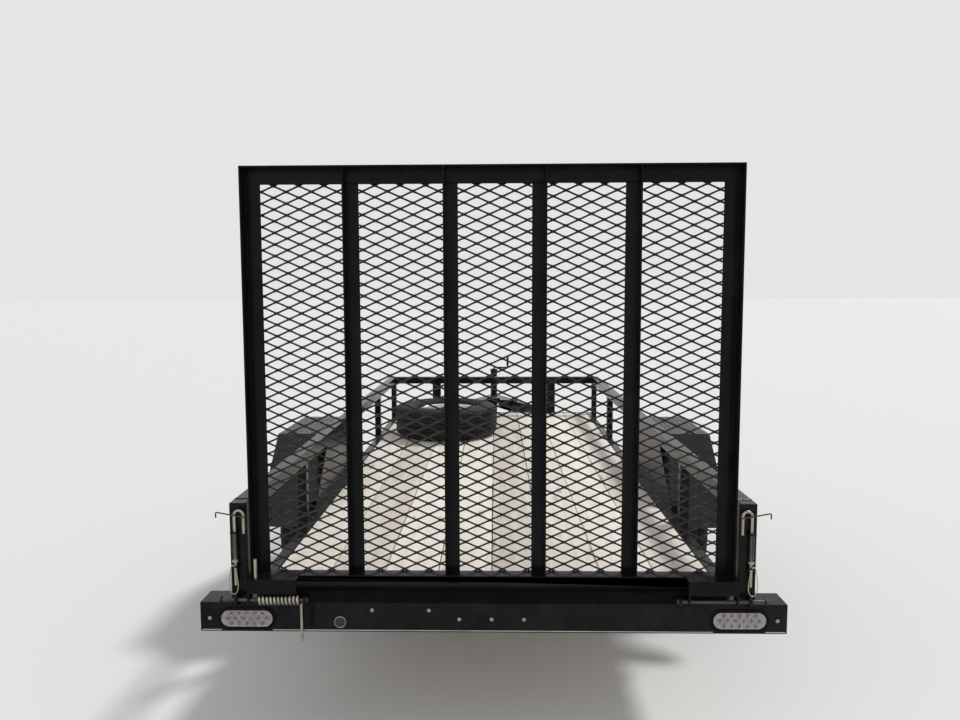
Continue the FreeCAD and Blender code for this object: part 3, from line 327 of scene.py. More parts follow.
ledRed = coat("ledDome", (0.46, 0.39, 0.39), (0.36, 0.29, 0.30), (0.3, 0.24, 0.24), 0.05, 0.16, 0.03, 90.0)
# painted highlight: a pale, half-metallic finish for the bright line along the light bar's lower edge,
# standing in for light caught on its rounded corner
paintedGlint = coat("paintedGlint", (0.70, 0.69, 0.66), (0.45, 0.44, 0.42), (0.3, 0.27, 0.24), 0.2, 0.34, 0.06,
                  8.0, Metallic=0.5)
markerLens = coat("markerLens", (0.36, 0.33, 0.33), (0.26, 0.235, 0.23), dustTone, 0.08, 0.12, 0.03, 60.0,
                  Coat_Weight=0.5)
clearLens = coat("clearLens", (0.93, 0.93, 0.93), (0.9, 0.9, 0.9), dustTone, 0.05, 0.06, 0.03, 60.0,
                 change=0.02, Transmission_Weight=1.0, IOR=1.49)

plankLow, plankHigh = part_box("deck_planks")
planks = {
    "count": 8, "gap": 0.0032, "round": 0.003, "wander": 0.0006, "steps": 61,
    "firstRow": 0.1207,   # from the bar's rear face to the middle of the first crossmember
    "rowStep": 0.6934, "rows": 5, "screwOut": 0.055,
}
plankWide = (plankHigh.x - plankLow.x - (planks["count"] - 1) * planks["gap"]) / planks["count"]
timber = material("deckTimber", timberGroup, {
    "Light": (0.92, 0.84, 0.73, 1), "Dark": (0.54, 0.45, 0.35, 1), "Knot": (0.17, 0.12, 0.08, 1),
    "Grey": (0.82, 0.775, 0.72, 1), "Plank Pitch": plankWide + planks["gap"],
    "First Edge": plankLow.x - planks["gap"] / 2}, 0.35, grain["deep"])
print("finishes made")


# shapes worked out on grids; a part is a pair of points and faces

def addObject(name, mesh, look, replaced, body, bevel):
    piece = linked(name, mesh)
    mesh.materials.clear()
    mesh.materials.append(look)
    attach(piece, body)
    if replaced:
        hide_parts(*replaced)
    if bevel:
        edges = piece.modifiers.new("roundEdges", "BEVEL")
        edges.width = bevel
        edges.segments = 2
        edges.limit_method = "ANGLE"
        edges.angle_limit = math.radians(34)
        edges.use_clamp_overlap = True
        piece.modifiers.new("evenShading", "WEIGHTED_NORMAL").keep_sharp = True


def addPiece(name, part, look, slotName, *replaced, body="chassis", smooth=True, merge=True, bevel=0):
    # one mesh object in the trailer's frame, riding on a body
    points, faces = part
    mesh = bpy.data.meshes.new(name)
    mesh.from_pydata(np.asarray(points, float).reshape(-1, 3).tolist(), [], [list(face) for face in faces])
    work = bmesh.new()
    work.from_mesh(mesh)
    if merge:
        bmesh.ops.remove_doubles(work, verts=work.verts, dist=1e-6)
    bmesh.ops.recalc_face_normals(work, faces=work.faces)
    work.to_mesh(mesh)
    work.free()
    mesh.polygons.foreach_set("use_smooth", np.full(len(mesh.polygons), smooth))
    if smooth:
        mesh.set_sharp_from_angle(angle=math.radians(38))
    addObject(name, mesh, look, replaced, body, bevel)


def gridFaces(rows, columns, closed=False):
    # quads between neighbouring points of a grid whose last column joins its first; closed joins the rows too
    row = np.arange(rows if closed else rows - 1)[:, None]
    column = np.arange(columns)[None]
    nextRow, nextColumn = (row + 1) % rows, (column + 1) % columns
    corners = ((row, column), (row, nextColumn), (nextRow, nextColumn), (nextRow, column))
    return np.stack([(r * columns + c).ravel() for r, c in corners], 1)


def cappedFaces(rows, columns):
    # the same with a face over the first row and one over the last
    ends = [list(range(columns)), list(range((rows - 1) * columns, rows * columns))]
    return gridFaces(rows, columns).tolist() + ends


def repeated(faces, count, size):
    # the same faces on each of count parts with size points
    shifted = np.asarray(faces)[None] + (np.arange(count) * size)[:, None, None]
    return shifted.reshape(-1, shifted.shape[-1])


def join(parts):
    # several parts as one
    points, faces, count = [], [], 0
    for spots, quads in parts:
        points.append(np.asarray(spots).reshape(-1, 3))
        faces += [[int(index) + count for index in face] for face in quads]
        count += len(points[-1])
    return np.concatenate(points), faces


def copies(part, places):
    # the same part at each of many places
    points = np.asarray(part[0]).reshape(-1, 3)
    places = np.asarray(places, float).reshape(-1, 3)
    spots = points[None] + places[:, None]
    return spots.reshape(-1, 3), repeated(part[1], len(places), len(points))


def unit(vectors):
    return vectors / np.linalg.norm(vectors, axis=-1, keepdims=True)


def tubeAlong(path, sideways, radius, sides):
    # circles carried along a path: each point is path + radius * (cos a * n + sin a * b), where n is the
    # sideways direction squared up to the path and b is square to both; both ends close in a point
    path = np.asarray(path, float)
    radius = np.broadcast_to(np.asarray(radius, float), len(path))
    ahead = unit(np.gradient(path, axis=0))
    square = unit(np.cross(ahead, np.broadcast_to(sideways, path.shape)))
    normal = np.cross(square, ahead)
    angle = np.linspace(0, 2 * np.pi, sides, endpoint=False)
    ring = np.cos(angle)[None, :, None] * normal[:, None] + np.sin(angle)[None, :, None] * square[:, None]
    points = path[:, None] + radius[:, None, None] * ring
    ends = [np.repeat(path[spot][None, None], sides, 1) for spot in (0, -1)]
    points = np.concatenate([ends[0], points, ends[1]])
    return points.reshape(-1, 3), gridFaces(len(path) + 2, sides)


def straightTube(start, end, steps, sideways, radius, sides):
    return tubeAlong(np.linspace(start, end, steps), sideways, radius, sides)


def helixPath(centre, axis, first, second, radius, pitch, turns, perTurn):
    # centre + radius * (cos a * first + sin a * second) + axis * pitch * a / (2 pi), and its way outward
    angle = np.linspace(0, 2 * np.pi * turns, int(turns * perTurn) + 1)[:, None]
    outward = np.cos(angle) * np.array(first) + np.sin(angle) * np.array(second)
    return np.array(centre) + radius * outward + np.array(axis) * pitch * angle / (2 * np.pi), outward


def lathe(profile, axis, sides, centre=(0, 0, 0), closed=False):
    # a profile of (distance along the axis, radius) turned about it; a closed one ends where it starts
    axis = np.array(axis, float)
    first = np.array([0, 0, 1.0]) if abs(axis[2]) < 0.5 else np.array([1.0, 0, 0])
    second = np.cross(axis, first)
    along, radius = np.asarray(profile, float).T
    angle = np.linspace(0, 2 * np.pi, sides, endpoint=False)
    ring = np.cos(angle)[:, None] * first + np.sin(angle)[:, None] * second
    points = np.array(centre) + along[:, None, None] * axis + radius[:, None, None] * ring[None]
    return points.reshape(-1, 3), gridFaces(len(along), sides, closed)


def pinProfile(long, radius, edge):
    # a round bar with both edges turned off
    start = [(0, 0.0), (0, radius - edge), (edge, radius)]
    return start + [(long - edge, radius), (long, radius - edge), (long, 0.0)]


def hexBolt(centre, axis, flat, tall, stud=0.0):
    # a hexagon head or nut with its corners turned off, and the end of a stud where it has a length
    profile = [(0, 0.0), (0, flat * 1.12), (tall * 0.8, flat * 1.12), (tall, flat * 0.94), (tall, flat * 0.5)]
    profile += [(tall + stud, flat * 0.5), (tall + stud, 0.0)] if stud else [(tall, 0.0)]
    return lathe(profile, axis, 6, centre)


def slab(outline, axis, start, end):
    # a plate with this outline, carried from start to end along axis 0, 1 or 2
    outline = np.asarray(outline, float)
    points = np.zeros((2, len(outline), 3))
    points[..., [index for index in range(3) if index != axis]] = outline
    points[..., axis] = np.array([start, end])[:, None]
    return points.reshape(-1, 3), cappedFaces(2, len(outline))


def block(low, high):
    outline = [(low[0], low[1]), (high[0], low[1]), (high[0], high[1]), (low[0], high[1])]
    return slab(outline, 2, low[2], high[2])


def bentPath(corners, radius, steps=7):
    # straight runs with a round bend at each inner corner: a quadratic curve from radius before it to
    # radius after it
    corners = np.asarray(corners, float)
    before = corners[1:-1] + radius * unit(corners[:-2] - corners[1:-1])
    after = corners[1:-1] + radius * unit(corners[2:] - corners[1:-1])
    t = np.linspace(0, 1, steps)[None, :, None]
    bends = (1 - t) ** 2 * before[:, None] + 2 * t * (1 - t) * corners[1:-1, None] + t ** 2 * after[:, None]
    return np.concatenate([corners[:1], bends.reshape(-1, 3), corners[-1:]])


# steelwork: copies of the frame's own solids with their corners rounded

rounded = [  # finish, slot, corner radius, body, nodes
    (blackPaint, "black_paint", 0.0045, "chassis", (
        "rear_light_bar", "side_rail_left", "side_rail_right", "front_rail", "rear_posts")),
    (blackPaint, "black_paint", 0.003, "chassis", ("stakes_left", "stakes_right", "front_posts", "axle")),
    (blackPaint, "black_paint", 0.0012, "chassis", (
        "frame_channel_left", "frame_channel_right", "front_channel", "crossmembers", "fender_backings",
        "tongue_beam_left", "tongue_beam_right", "coupler", "spring_hangers")),
    (shadedPaint, "black_paint", 0.0015, "chassis", ("deck_end_angle",)),
    (treadPaint, "tread_plate", 0.0014, "chassis", ("fender_left", "fender_right")),
    (jackZinc, "zinc", 0.0015, "chassis", ("coupler_latch",)),
    (gatePaint, "black_paint", 0.0014, "gate", ("gate_frame", "gate_brackets")),
]


def roundedCopy(node, look, radius, body):
    mesh = nodes[node].data.copy()
    work = bmesh.new()
    work.from_mesh(mesh)
    bmesh.ops.remove_doubles(work, verts=work.verts, dist=1e-5)
    bmesh.ops.dissolve_limit(work, angle_limit=math.radians(0.4), verts=work.verts, edges=work.edges)
    work.to_mesh(mesh)
    work.free()
    mesh.polygons.foreach_set("use_smooth", np.ones(len(mesh.polygons), bool))
    first, *words = node.split("_")
    name = first + "".join(word.capitalize() for word in words) + "Steel"
    addObject(name, mesh, look, (node,), body, radius)


for look, slotName, radius, body, names in rounded:
    for name in names:
        roundedCopy(name, look, radius, body)
print("steelwork dressed")


# deck planks

def plankMiddles():
    return plankLow.x + plankWide / 2 + np.arange(planks["count"]) * (plankWide + planks["gap"])


def makePlanks():
    # each plank is a rectangle with round corners carried along Y, its line wandering by slow sines
    low, high = plankLow, plankHigh
    count, steps, radius, wander = planks["count"], planks["steps"], planks["round"], planks["wander"]
    half = (plankWide / 2 - wander, (high.z - low.z) / 2 - wander)
    angle = np.radians(np.arange(0, 91, 22.5))
    corners = [(1, 1, 0), (-1, 1, 90), (-1, -1, 180), (1, -1, 270)]
    section = [[(sx * (half[0] - radius) + radius * math.cos(a + math.radians(turn)),
                 sz * (half[1] - radius) + radius * math.sin(a + math.radians(turn))) for a in angle]
               for sx, sz, turn in corners]
    section = np.array(section).reshape(-1, 2)
    along = np.linspace(low.y, high.y, steps)
    number = np.arange(count)[:, None]
    sway = wander * np.sin(along[None] * (1.3 + 0.31 * number) + 2.4 * number)
    heave = wander * np.sin(along[None] * (1.9 + 0.27 * number) + 4.1 * number)
    points = np.zeros((count, steps, len(section), 3))
    points[..., 0] = (plankMiddles()[:, None] + sway)[..., None] + section[None, None, :, 0]
    points[..., 1] = along[None, :, None]
    points[..., 2] = ((low.z + high.z) / 2 + heave)[..., None] + section[None, None, :, 1]
    boards = join([(plank, cappedFaces(steps, len(section))) for plank in points])
    addPiece("deckBoards", boards, timber, "timber", "deck_planks")


def makeDeckScrews():
    # round heads in pairs on each plank over every crossmember
    profile = [(-0.001, 0.0), (-0.001, 0.0055), (0.0006, 0.0052), (0.0014, 0.0035), (0.0016, 0.0)]
    rows = rear + planks["firstRow"] + planks["rowStep"] * np.arange(1, planks["rows"] + 1)
    across = np.concatenate([plankMiddles() - planks["screwOut"], plankMiddles() + planks["screwOut"]])
    spots = np.stack(np.meshgrid(across, rows, [plankHigh.z], indexing="ij"), -1)
    addPiece("deckScrews", copies(lathe(profile, toZ, 12), spots), screwSteel, "zinc")


makePlanks()
makeDeckScrews()
print("deck laid")


# expanded mesh on the gate

gateSheet = {
    "longWay": 0.0787,    # from knuckle to knuckle across the gate
    "shortWay": 0.0358,   # from knuckle to knuckle up the gate
    "strandWide": 0.0052, "strandThick": 0.0026, "tilt": math.radians(32), "steps": 6,
    "knuckle": 0.55,      # how much wider the strand is at its ends
    "endTilt": 0.45,      # share of the tilt that it keeps there
    "margin": 0.001, "shortest": 0.04, "off": 0.0027,
}


def makeGateMesh():
    # every strand runs between two knuckles of a rhombic lattice; a flat bar is carried along it, tilted
    # out of the gate's plane as slit and stretched sheet is, and flatter and wider at the knuckles
    low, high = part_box("gate_mesh_rising")
    lx, lz = gateSheet["longWay"] / 2, gateSheet["shortWay"] / 2
    columns, rows = int((high.x - low.x) / lx) + 3, int((high.z - low.z) / lz) + 3
    column, row = np.meshgrid(np.arange(-1, columns), np.arange(-1, rows), indexing="ij")
    even = (column + row) % 2 == 0
    spots = np.stack([low.x + column[even] * lx, low.z + row[even] * lz], -1)
    starts = np.concatenate([spots, spots])
    run = np.concatenate([spots + (lx, lz), spots + (lx, -lz)]) - starts
    # each strand is cut off at the sheet's edges
    margin, steps = gateSheet["margin"], gateSheet["steps"]
    limits = np.array([[low.x + margin, high.x - margin], [low.z + margin, high.z - margin]])
    bounds = (limits[None] - starts[..., None]) / run[..., None]
    first = np.clip(bounds.min(2).max(1), 0, 1)[:, None]
    last = np.clip(bounds.max(2).min(1), 0, 1)[:, None]
    keep = (last - first > gateSheet["shortest"])[:, 0]
    starts, run, first, last = starts[keep], run[keep], first[keep], last[keep]
    share = first + (last - first) * np.linspace(0, 1, steps)
    flat = starts[:, None] + share[..., None] * run[:, None]
    ahead = unit(run)
    normal = np.stack([-ahead[:, 1], ahead[:, 0]], -1)
    tilt = gateSheet["tilt"] * (gateSheet["endTilt"] + (1 - gateSheet["endTilt"]) * np.sin(np.pi * share))
    wide = gateSheet["strandWide"] / 2 * (1 + gateSheet["knuckle"] * np.abs(2 * share - 1) ** 6)
    thick = gateSheet["strandThick"] / 2
    points = np.zeros((len(starts), steps, 4, 3))
    for index, (u, v) in enumerate(((wide, thick), (-wide, thick), (-wide, -thick), (wide, -thick))):
        inPlane = u * np.cos(tilt) - v * np.sin(tilt)
        points[:, :, index, ::2] = flat + normal[:, None] * inPlane[..., None]
        points[:, :, index, 1] = low.y + gateSheet["off"] + (u * np.sin(tilt) + v * np.cos(tilt))
    size = steps * 4
    faces = np.concatenate([gridFaces(steps, 4), [[0, 1, 2, 3], [size - 1, size - 2, size - 3, size - 4]]])
    addPiece("gateSheetMesh", (points, repeated(faces, len(starts), size)), meshPaint, "mesh_paint",
             "gate_mesh_rising", "gate_mesh_falling", body="gate", smooth=False, merge=False)


makeGateMesh()
print("gate mesh stretched")


# tyres

tyre = {
    "wide": 0.205, "radius": 0.340, "bead": 0.1905, "heel": 0.2067, "rimHalf": 0.0664, "treadHalf": 0.075,
    "bulge": 0.45, "shoulder": 0.0115, "corner": 0.0055, "crown": 0.0028, "rib": 0.0007, "ribs": 9,
    "grooves": (-0.045, -0.0155, 0.0155, 0.045), "grooveHalf": 0.0034, "grooveDeep": 0.0075,
    "wave": 0.0016, "waveWithin": 0.03, "blocks": 66, "steps": 528,
    "notchDeep": 0.005, "notchHalf": 0.07, "notchFrom": 0.047,
}


def tyreShape():
    # a closed outline of (x, r) turned about the wheel's axis, with r lowered in the tread by four grooves
    # round it and by short notches across the shoulders
    bead, radius, half, wide = tyre["bead"], tyre["radius"], tyre["rimHalf"], tyre["wide"] / 2
    tread, rib, steps = tyre["treadHalf"], tyre["rib"], tyre["steps"]
    bulge, shoulder = bead + tyre["bulge"] * (radius - bead), radius - tyre["shoulder"]
    corner = tread + tyre["corner"]
    t = np.linspace(0, 1, 11) * np.pi / 2
    lower = np.stack([half + (wide - half) * np.sin(t), bulge - (bulge - tyre["heel"]) * np.cos(t)], -1)
    t = t[1:]
    upper = np.stack([corner + (wide - corner) * np.cos(t), bulge + (shoulder - bulge) * np.sin(t)], -1)
    flank = np.concatenate([lower, upper])
    flank[:, 0] -= rib - rib * np.maximum(0, np.sin(np.linspace(0, tyre["ribs"] * np.pi, len(flank))))
    across = np.linspace(tread, -tread, 61)
    crown = np.stack([across, radius - tyre["crown"] * (across / tread) ** 2], -1)
    edge = np.array([[half, bead]])
    outline = np.concatenate([edge, flank, crown, flank[::-1] * (-1, 1), edge * (-1, 1)])
    angle = np.linspace(0, 2 * np.pi, steps, endpoint=False)[:, None]
    x, r = outline.T[:, None]
    deep = np.zeros((steps, len(outline)))
    wave = tyre["wave"] * np.sign(np.sin(angle * tyre["blocks"] / 2))
    for spot in tyre["grooves"]:
        line = spot + wave * (abs(spot) < tyre["waveWithin"])
        groove = np.clip(1.6 - np.abs(x - line) / tyre["grooveHalf"], 0, 1)
        deep = np.maximum(deep, tyre["grooveDeep"] * groove)
    phase = (angle * tyre["blocks"] / (2 * np.pi) + 1.3 * np.abs(x)) % 1.0
    notch = np.clip(2.2 - np.abs(phase - 0.5) / tyre["notchHalf"], 0, 1) * (np.abs(x) > tyre["notchFrom"])
    onTread = (np.abs(x) <= tread + 1e-9) & (r > bead + 0.01)
    r = r - np.where(onTread, np.maximum(deep, tyre["notchDeep"] * notch), 0)
    return np.broadcast_to(x, r.shape), r, angle, gridFaces(steps, len(outline), closed=True)


def makeTyres():
    x, r, angle, faces = tyreShape()
    for side in ("left", "right"):
        low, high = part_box("tyre_" + side)
        middle = (low + high) / 2
        points = np.stack([middle.x + x, middle.y + r * np.cos(angle), middle.z + r * np.sin(angle)], -1)
        addPiece("roadTyre" + side.capitalize(), (points, faces), tyreRubber, "tyre", "tyre_" + side,
                 body=side + "_wheel", merge=False)
    low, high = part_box("spare_tyre")
    middle = (low + high) / 2
    points = np.stack([middle.x + r * np.cos(angle), middle.y + r * np.sin(angle), middle.z + x], -1)
    addPiece("spareTyre", (points, faces), tyreRubber, "tyre", "spare_tyre", merge=False)


makeTyres()
print("tyres turned")


# wheels: rims, hubs and nuts

wheel = {
    "track": 0.914, "ahead": 1.486, "level": 0.340, "spare": (-0.317, 2.743, 0.625),
    "seat": 0.1902, "sheet": 0.0032, "half": 0.070, "sides": 96,
    "flange": [  # in from the rim's edge, radius
        (0, 0.1995), (0.0006, 0.2020), (0.0018, 0.2031), (0.0033, 0.2020), (0.0038, 0.1975), (0.0050, 0.1930),
        (0.0085, 0.1902)],
    "pilot": 0.032, "root": 0.090, "disc": 0.005, "crown": 0.0035, "spokes": 8, "spokeHalf": 0.020,
    "ridge": 0.006, "studs": 5, "studCircle": 0.057, "nut": 0.0098, "nutTall": 0.018, "studEnd": 0.004,
    "hub": [  # along the axle, radius
        (-0.072, 0.0), (-0.072, 0.034), (-0.070, 0.036), (-0.030, 0.036), (-0.012, 0.046), (-0.010, 0.070),
        (-0.008, 0.072), (-0.002, 0.072), (0.0, 0.070), (0.0, 0.0315), (0.006, 0.0315), (0.009, 0.0285),
        (0.009, 0.026), (0.052, 0.0248), (0.054, 0.0225), (0.062, 0.0220), (0.069, 0.0180),
        (0.073, 0.0100), (0.074, 0.0)],
}


def rimShape():
    # the barrel: a line from lip to lip with a well behind the disc, and the same line set in by the sheet
    seat, half = wheel["seat"], wheel["half"]
    lip = [(half - x, r) for x, r in wheel["flange"]]
    well = [(0.044, seat - 0.0008), (0.034, seat - 0.0020), (0.012, seat - 0.0030), (-0.006, seat - 0.0030),
            (-0.014, 0.178), (-0.020, 0.173), (-0.038, 0.173), (-0.045, 0.179), (-0.050, seat - 0.0008)]
    line = np.array(lip + well + [(-x, r) for x, r in lip[::-1]])
    ahead = unit(np.gradient(line, axis=0))
    inner = line - wheel["sheet"] * np.stack([ahead[:, 1], -ahead[:, 0]], -1)
    inner[:, 0] = np.clip(inner[:, 0], -half, half)
    return np.concatenate([line, inner[::-1]])


def spokeShape():
    # one pressed spoke along +Z: across it the front rises in a cosine ridge, which fades towards both ends,
    # and its edges widen in a curve where it meets the middle of the disc and the barrel
    root, end = wheel["root"] - 0.012, wheel["seat"] - wheel["sheet"] - 0.0025
    along = np.linspace(0, 1, 17)[:, None]
    across = np.linspace(-1, 1, 13)[None]
    half = wheel["spokeHalf"] * (1 + 0.28 * (2 * along - 1) ** 6)
    rise = 0.5 * (1 + np.cos(np.pi * np.clip(across * 1.25, -1, 1)))
    ridge = wheel["ridge"] * np.sin(np.pi * along) ** 0.6 * rise
    front, back = [np.stack(np.broadcast_arrays(x, across * half, root + along * (end - root)), -1)
                   for x in (wheel["disc"] + ridge, 0.0006 + ridge * 0.8)]
    loop = np.concatenate([front, back[:, ::-1]], 1)
    return loop.reshape(-1, 3), cappedFaces(*loop.shape[:2])


def around(part, count):
    # copies of a part turned about the X axis
    points = np.asarray(part[0]).reshape(-1, 3)
    parts = []
    for angle in 2 * np.pi * np.arange(count) / count:
        turn = np.array([toX, (0, math.cos(angle), -math.sin(angle)), (0, math.sin(angle), math.cos(angle))])
        parts.append((points @ turn.T, part[1]))
    return join(parts)


def rimParts():
    # the barrel, the dished disc in it and the spokes between them
    root, pilot, disc, crown = wheel["root"], wheel["pilot"], wheel["disc"], wheel["crown"]
    dish = [(0.0, pilot), (disc, pilot), (disc + 0.4 * crown, pilot + 0.006), (disc + crown, 0.048),
            (disc + crown, 0.072), (disc + 0.6 * crown, root - 0.008), (disc, root), (0.0005, root)]
    turned = [lathe(profile, toX, wheel["sides"], closed=True) for profile in (rimShape(), dish)]
    return join(turned + [around(spokeShape(), wheel["spokes"])])


def standUp(part, side):
    # from the wheel's own axis to its place: the outer side faces away from the trailer, or up on the spare
    points = np.asarray(part[0]).reshape(-1, 3)
    if side == "spare":
        x, y, z = wheel["spare"]
        return np.stack([-points[:, 2], points[:, 1], points[:, 0]], -1) + (x, rear + y, z), part[1]
    sign = dict(bothSides)[side]
    place = (sign * wheel["track"], rear + wheel["ahead"], wheel["level"])
    return points * (sign, sign, 1) + place, part[1]


def makeWheels():
    steel = rimParts()
    for side, body, node in (("left", "left_wheel", "rim_left"), ("right", "right_wheel", "rim_right"),
                             ("spare", "chassis", "spare_rim")):
        addPiece(side + "RimSteel", standUp(steel, side), rimPaint, "rim_silver", node, body=body)
    hub = lathe(wheel["hub"], toX, 48)
    spot = (wheel["disc"] + wheel["crown"] - 0.0005, 0, wheel["studCircle"])
    nuts = around(hexBolt(spot, toX, wheel["nut"], wheel["nutTall"], wheel["studEnd"]), wheel["studs"])
    for side in ("left", "right"):
        body = side + "_wheel"
        addPiece(side + "HubTurned", standUp(hub, side), castPaint, "black_paint", "hub_" + side, body=body)
        addPiece(side + "WheelNuts", standUp(nuts, side), zinc, "zinc", body=body)
    # painted shade: thin dark discs on the spare's disc stand for its stud holes and the shade inside them
    hole = lathe([(-0.0004, 0.0), (-0.0004, 0.0068), (0.0003, 0.0062), (0.0003, 0.0)], toX, 20, spot)
    addPiece("spareStudHoleShade", standUp(around(hole, wheel["studs"]), "spare"), rubberAndShade, "rim_silver")


makeWheels()
print("rims and hubs pressed")


# leaf springs, their bolts and the clamps on the axle

leaves = {
    "place": 0.752, "wide": 0.0445, "span": 0.660, "arch": 0.062, "thick": 0.0064, "top": 0.3146,
    "shares": (1.0, 0.8, 0.58, 0.36), "gap": 0.0002, "step": 0.0004, "eye": 0.017, "bore": 0.008,
    "hanger": 0.005, "bolt": (0.0095, 0.009, 0.003), "rod": 0.006, "bend": 0.011, "nut": (0.0092, 0.010),
    "axleHalf": 0.0254, "plate": (0.0805, 0.0868, 0.0095),
}


def makeSprings():
    half, thick, wide = leaves["span"] / 2, leaves["thick"], leaves["wide"] / 2
    radius = (half ** 2 + leaves["arch"] ** 2) / (2 * leaves["arch"])
    flat = leaves["shares"][-1] * half
    middle = leaves["top"] + math.sqrt(radius ** 2 - flat ** 2)
    ahead = rear + wheel["ahead"]

    def drop(along, layer):
        # height of the leaf's upper face: an arc about a point over the axle, straight across the axle seat
        reach = np.maximum(np.abs(along), flat)
        return middle - np.sqrt((radius + layer * thick) ** 2 - reach ** 2)

    eyeLevel = middle - (radius + thick / 2) * math.sqrt(1 - (half / radius) ** 2)
    eye, bore, outer = leaves["eye"], leaves["bore"], wide + leaves["hanger"]
    for side, sign in bothSides:
        x = sign * leaves["place"]
        parts, bolts = [], []
        for layer, share in enumerate(leaves["shares"]):
            along = np.linspace(-share * half, share * half, 49)
            upper = np.stack([ahead + along, drop(along, layer) - leaves["gap"]], -1)
            lower = np.stack([ahead + along, drop(along, layer + 1) + leaves["gap"]], -1)
            inset = leaves["step"] * layer
            parts.append(slab(np.concatenate([upper, lower[::-1]]), 0, x - wide + inset, x + wide - inset))
        for step in (-1, 1):
            spot = (x, ahead + step * half, eyeLevel)
            parts.append(lathe([(-wide, bore), (-wide, eye), (wide, eye), (wide, bore)], toX, 32, spot))
            for turn in (-1, 1):
                bolts.append(hexBolt((x + turn * outer, *spot[1:]), (turn, 0, 0), *leaves["bolt"]))
        addPiece("leafPack" + side.capitalize(), join(parts), springPaint, "spring_steel",
                 "leaf_spring_" + side, bevel=0.0011)
        addPiece("springBolts" + side.capitalize(), join(bolts), zinc, "zinc")
    makeClamps(drop(np.zeros(1), len(leaves["shares"]))[0], ahead)


def makeClamps(low, ahead):
    # a plate under each spring, and square bolts that reach over the axle on both sides of it
    rod, axle = leaves["rod"], leaves["axleHalf"] + leaves["rod"]
    wide, deep, tall = leaves["plate"]
    top, floor = wheel["level"] + axle, low - tall
    corners = ((-1, floor - 2 * rod), (-1, top), (1, top), (1, floor - 2 * rod))
    pads, rods, nuts = [], [], []
    for sign in (-1, 1):
        x = sign * leaves["place"]
        pads.append(block((x - wide / 2, ahead - deep / 2, floor), (x + wide / 2, ahead + deep / 2, low)))
        for step in (-1, 1):
            across = x + step * (leaves["wide"] / 2 + rod)
            ends = [(across, ahead + turn * axle, z) for turn, z in corners]
            rods.append(tubeAlong(bentPath(ends, leaves["bend"]), toX, rod, 14))
            for turn in (-1, 1):
                nuts.append(hexBolt((across, ahead + turn * axle, floor), (0, 0, -1), *leaves["nut"]))
    addPiece("clampPlates", join(pads), castPaint, "black_paint", "axle_clamps", bevel=0.0014)
    addPiece("clampBolts", join(rods + nuts), zinc, "zinc")


makeSprings()
print("springs and clamps set")


# fenders: their lower ends, and the raised pattern of the tread plate

foot = {
    "rear": 0.966, "front": 2.006, "level": 0.548, "low": 0.459, "slope": 0.270 / 0.252,
    "inner": 0.8295, "outer": 1.0239, "thick": 0.0032, "skirt": 0.057,
}


def makeFenderFeet():
    # the last of each fender's two slopes: a sheet and, along its outer edge, the deeper skirt, both carried
    # down the slope from level to low
    level, low, outer, thick = foot["level"], foot["low"], foot["outer"], foot["thick"]
    reach = (level - low) * foot["slope"]
    sheets = ((thick, foot["inner"], outer - thick), (foot["skirt"], outer - thick, outer))
    for side, sign in bothSides:
        parts = []
        for end, out in ((foot["rear"], -1), (foot["front"], 1)):
            for deep, near, far in sheets:
                step = deep * math.hypot(1, foot["slope"])
                loop = ((0, level), (-step, level), (reach - step, low), (reach, low))
                loop = [(rear + end + out * y, z) for y, z in loop]
                parts.append(slab(loop, 0, sign * near, sign * far))
        addPiece("fenderFeet" + side.capitalize(), join(parts), treadPaint, "tread_plate", smooth=False,
                 merge=False, bevel=0.0008)


tread = {
    "rear": 0.8707, "front": 2.1013, "run": 0.3653, "low": 0.459, "top": 0.800,
    "pitch": 0.0245, "long": 0.0105, "wide": 0.0034, "tall": 0.0011, "points": 10,
    "inner": 0.840, "outer": 1.014, "inset": 0.014,
}


def makeTreadLugs():
    # almond lugs laid in turn to the left and to the right: in the plate, u = long * cos a and
    # v = wide * sin a * |sin a| ** 0.3, with a smaller ring on top
    angle = np.linspace(0, 2 * np.pi, tread["points"], endpoint=False)
    ring = np.stack([tread["long"] * np.cos(angle),
                     tread["wide"] * np.sin(angle) * np.abs(np.sin(angle) + 1e-9) ** 0.3, angle * 0], -1)
    lug = np.stack([ring - (0, 0, 0.0004), ring * (0.82, 0.62, 0) + (0, 0, tread["tall"]),
                    ring * 0 + (0, 0, tread["tall"] * 1.05)])
    long, wide, rise = lug.reshape(-1, 3).T
    faces = gridFaces(3, tread["points"])
    corners = np.array([(tread["rear"], tread["low"]), (tread["rear"] + tread["run"], tread["top"]),
                        (tread["front"] - tread["run"], tread["top"]), (tread["front"], tread["low"])])
    columns = np.arange(tread["inner"], tread["outer"], tread["pitch"] / 2)
    for side, sign in bothSides:
        parts = []
        for start, end in zip(corners[:-1], corners[1:]):
            far = np.linalg.norm(end - start)
            ahead = (end - start) / far
            steps = np.arange(tread["inset"], far - tread["inset"], tread["pitch"] / 2)
            row, column = np.meshgrid(np.arange(len(steps)), np.arange(len(columns)), indexing="ij")
            chosen = (row + column) % 2 == 0
            lean = np.where(row[chosen] % 2 == 0, 1.0, -1.0)[:, None] * math.pi / 4
            s, x = steps[row[chosen]][:, None], columns[column[chosen]][:, None]
            u = long * np.cos(lean) - wide * np.sin(lean)
            v = long * np.sin(lean) + wide * np.cos(lean)
            points = np.stack([sign * (x + v), rear + start[0] + ahead[0] * (s + u) - ahead[1] * rise,
                               start[1] + ahead[1] * (s + u) + ahead[0] * rise], -1)
            parts.append((points, repeated(faces, len(points), len(rise))))
        addPiece("fenderTread" + side.capitalize(), join(parts), treadPaint, "tread_plate")


makeFenderFeet()
makeTreadLugs()
print("fenders finished")
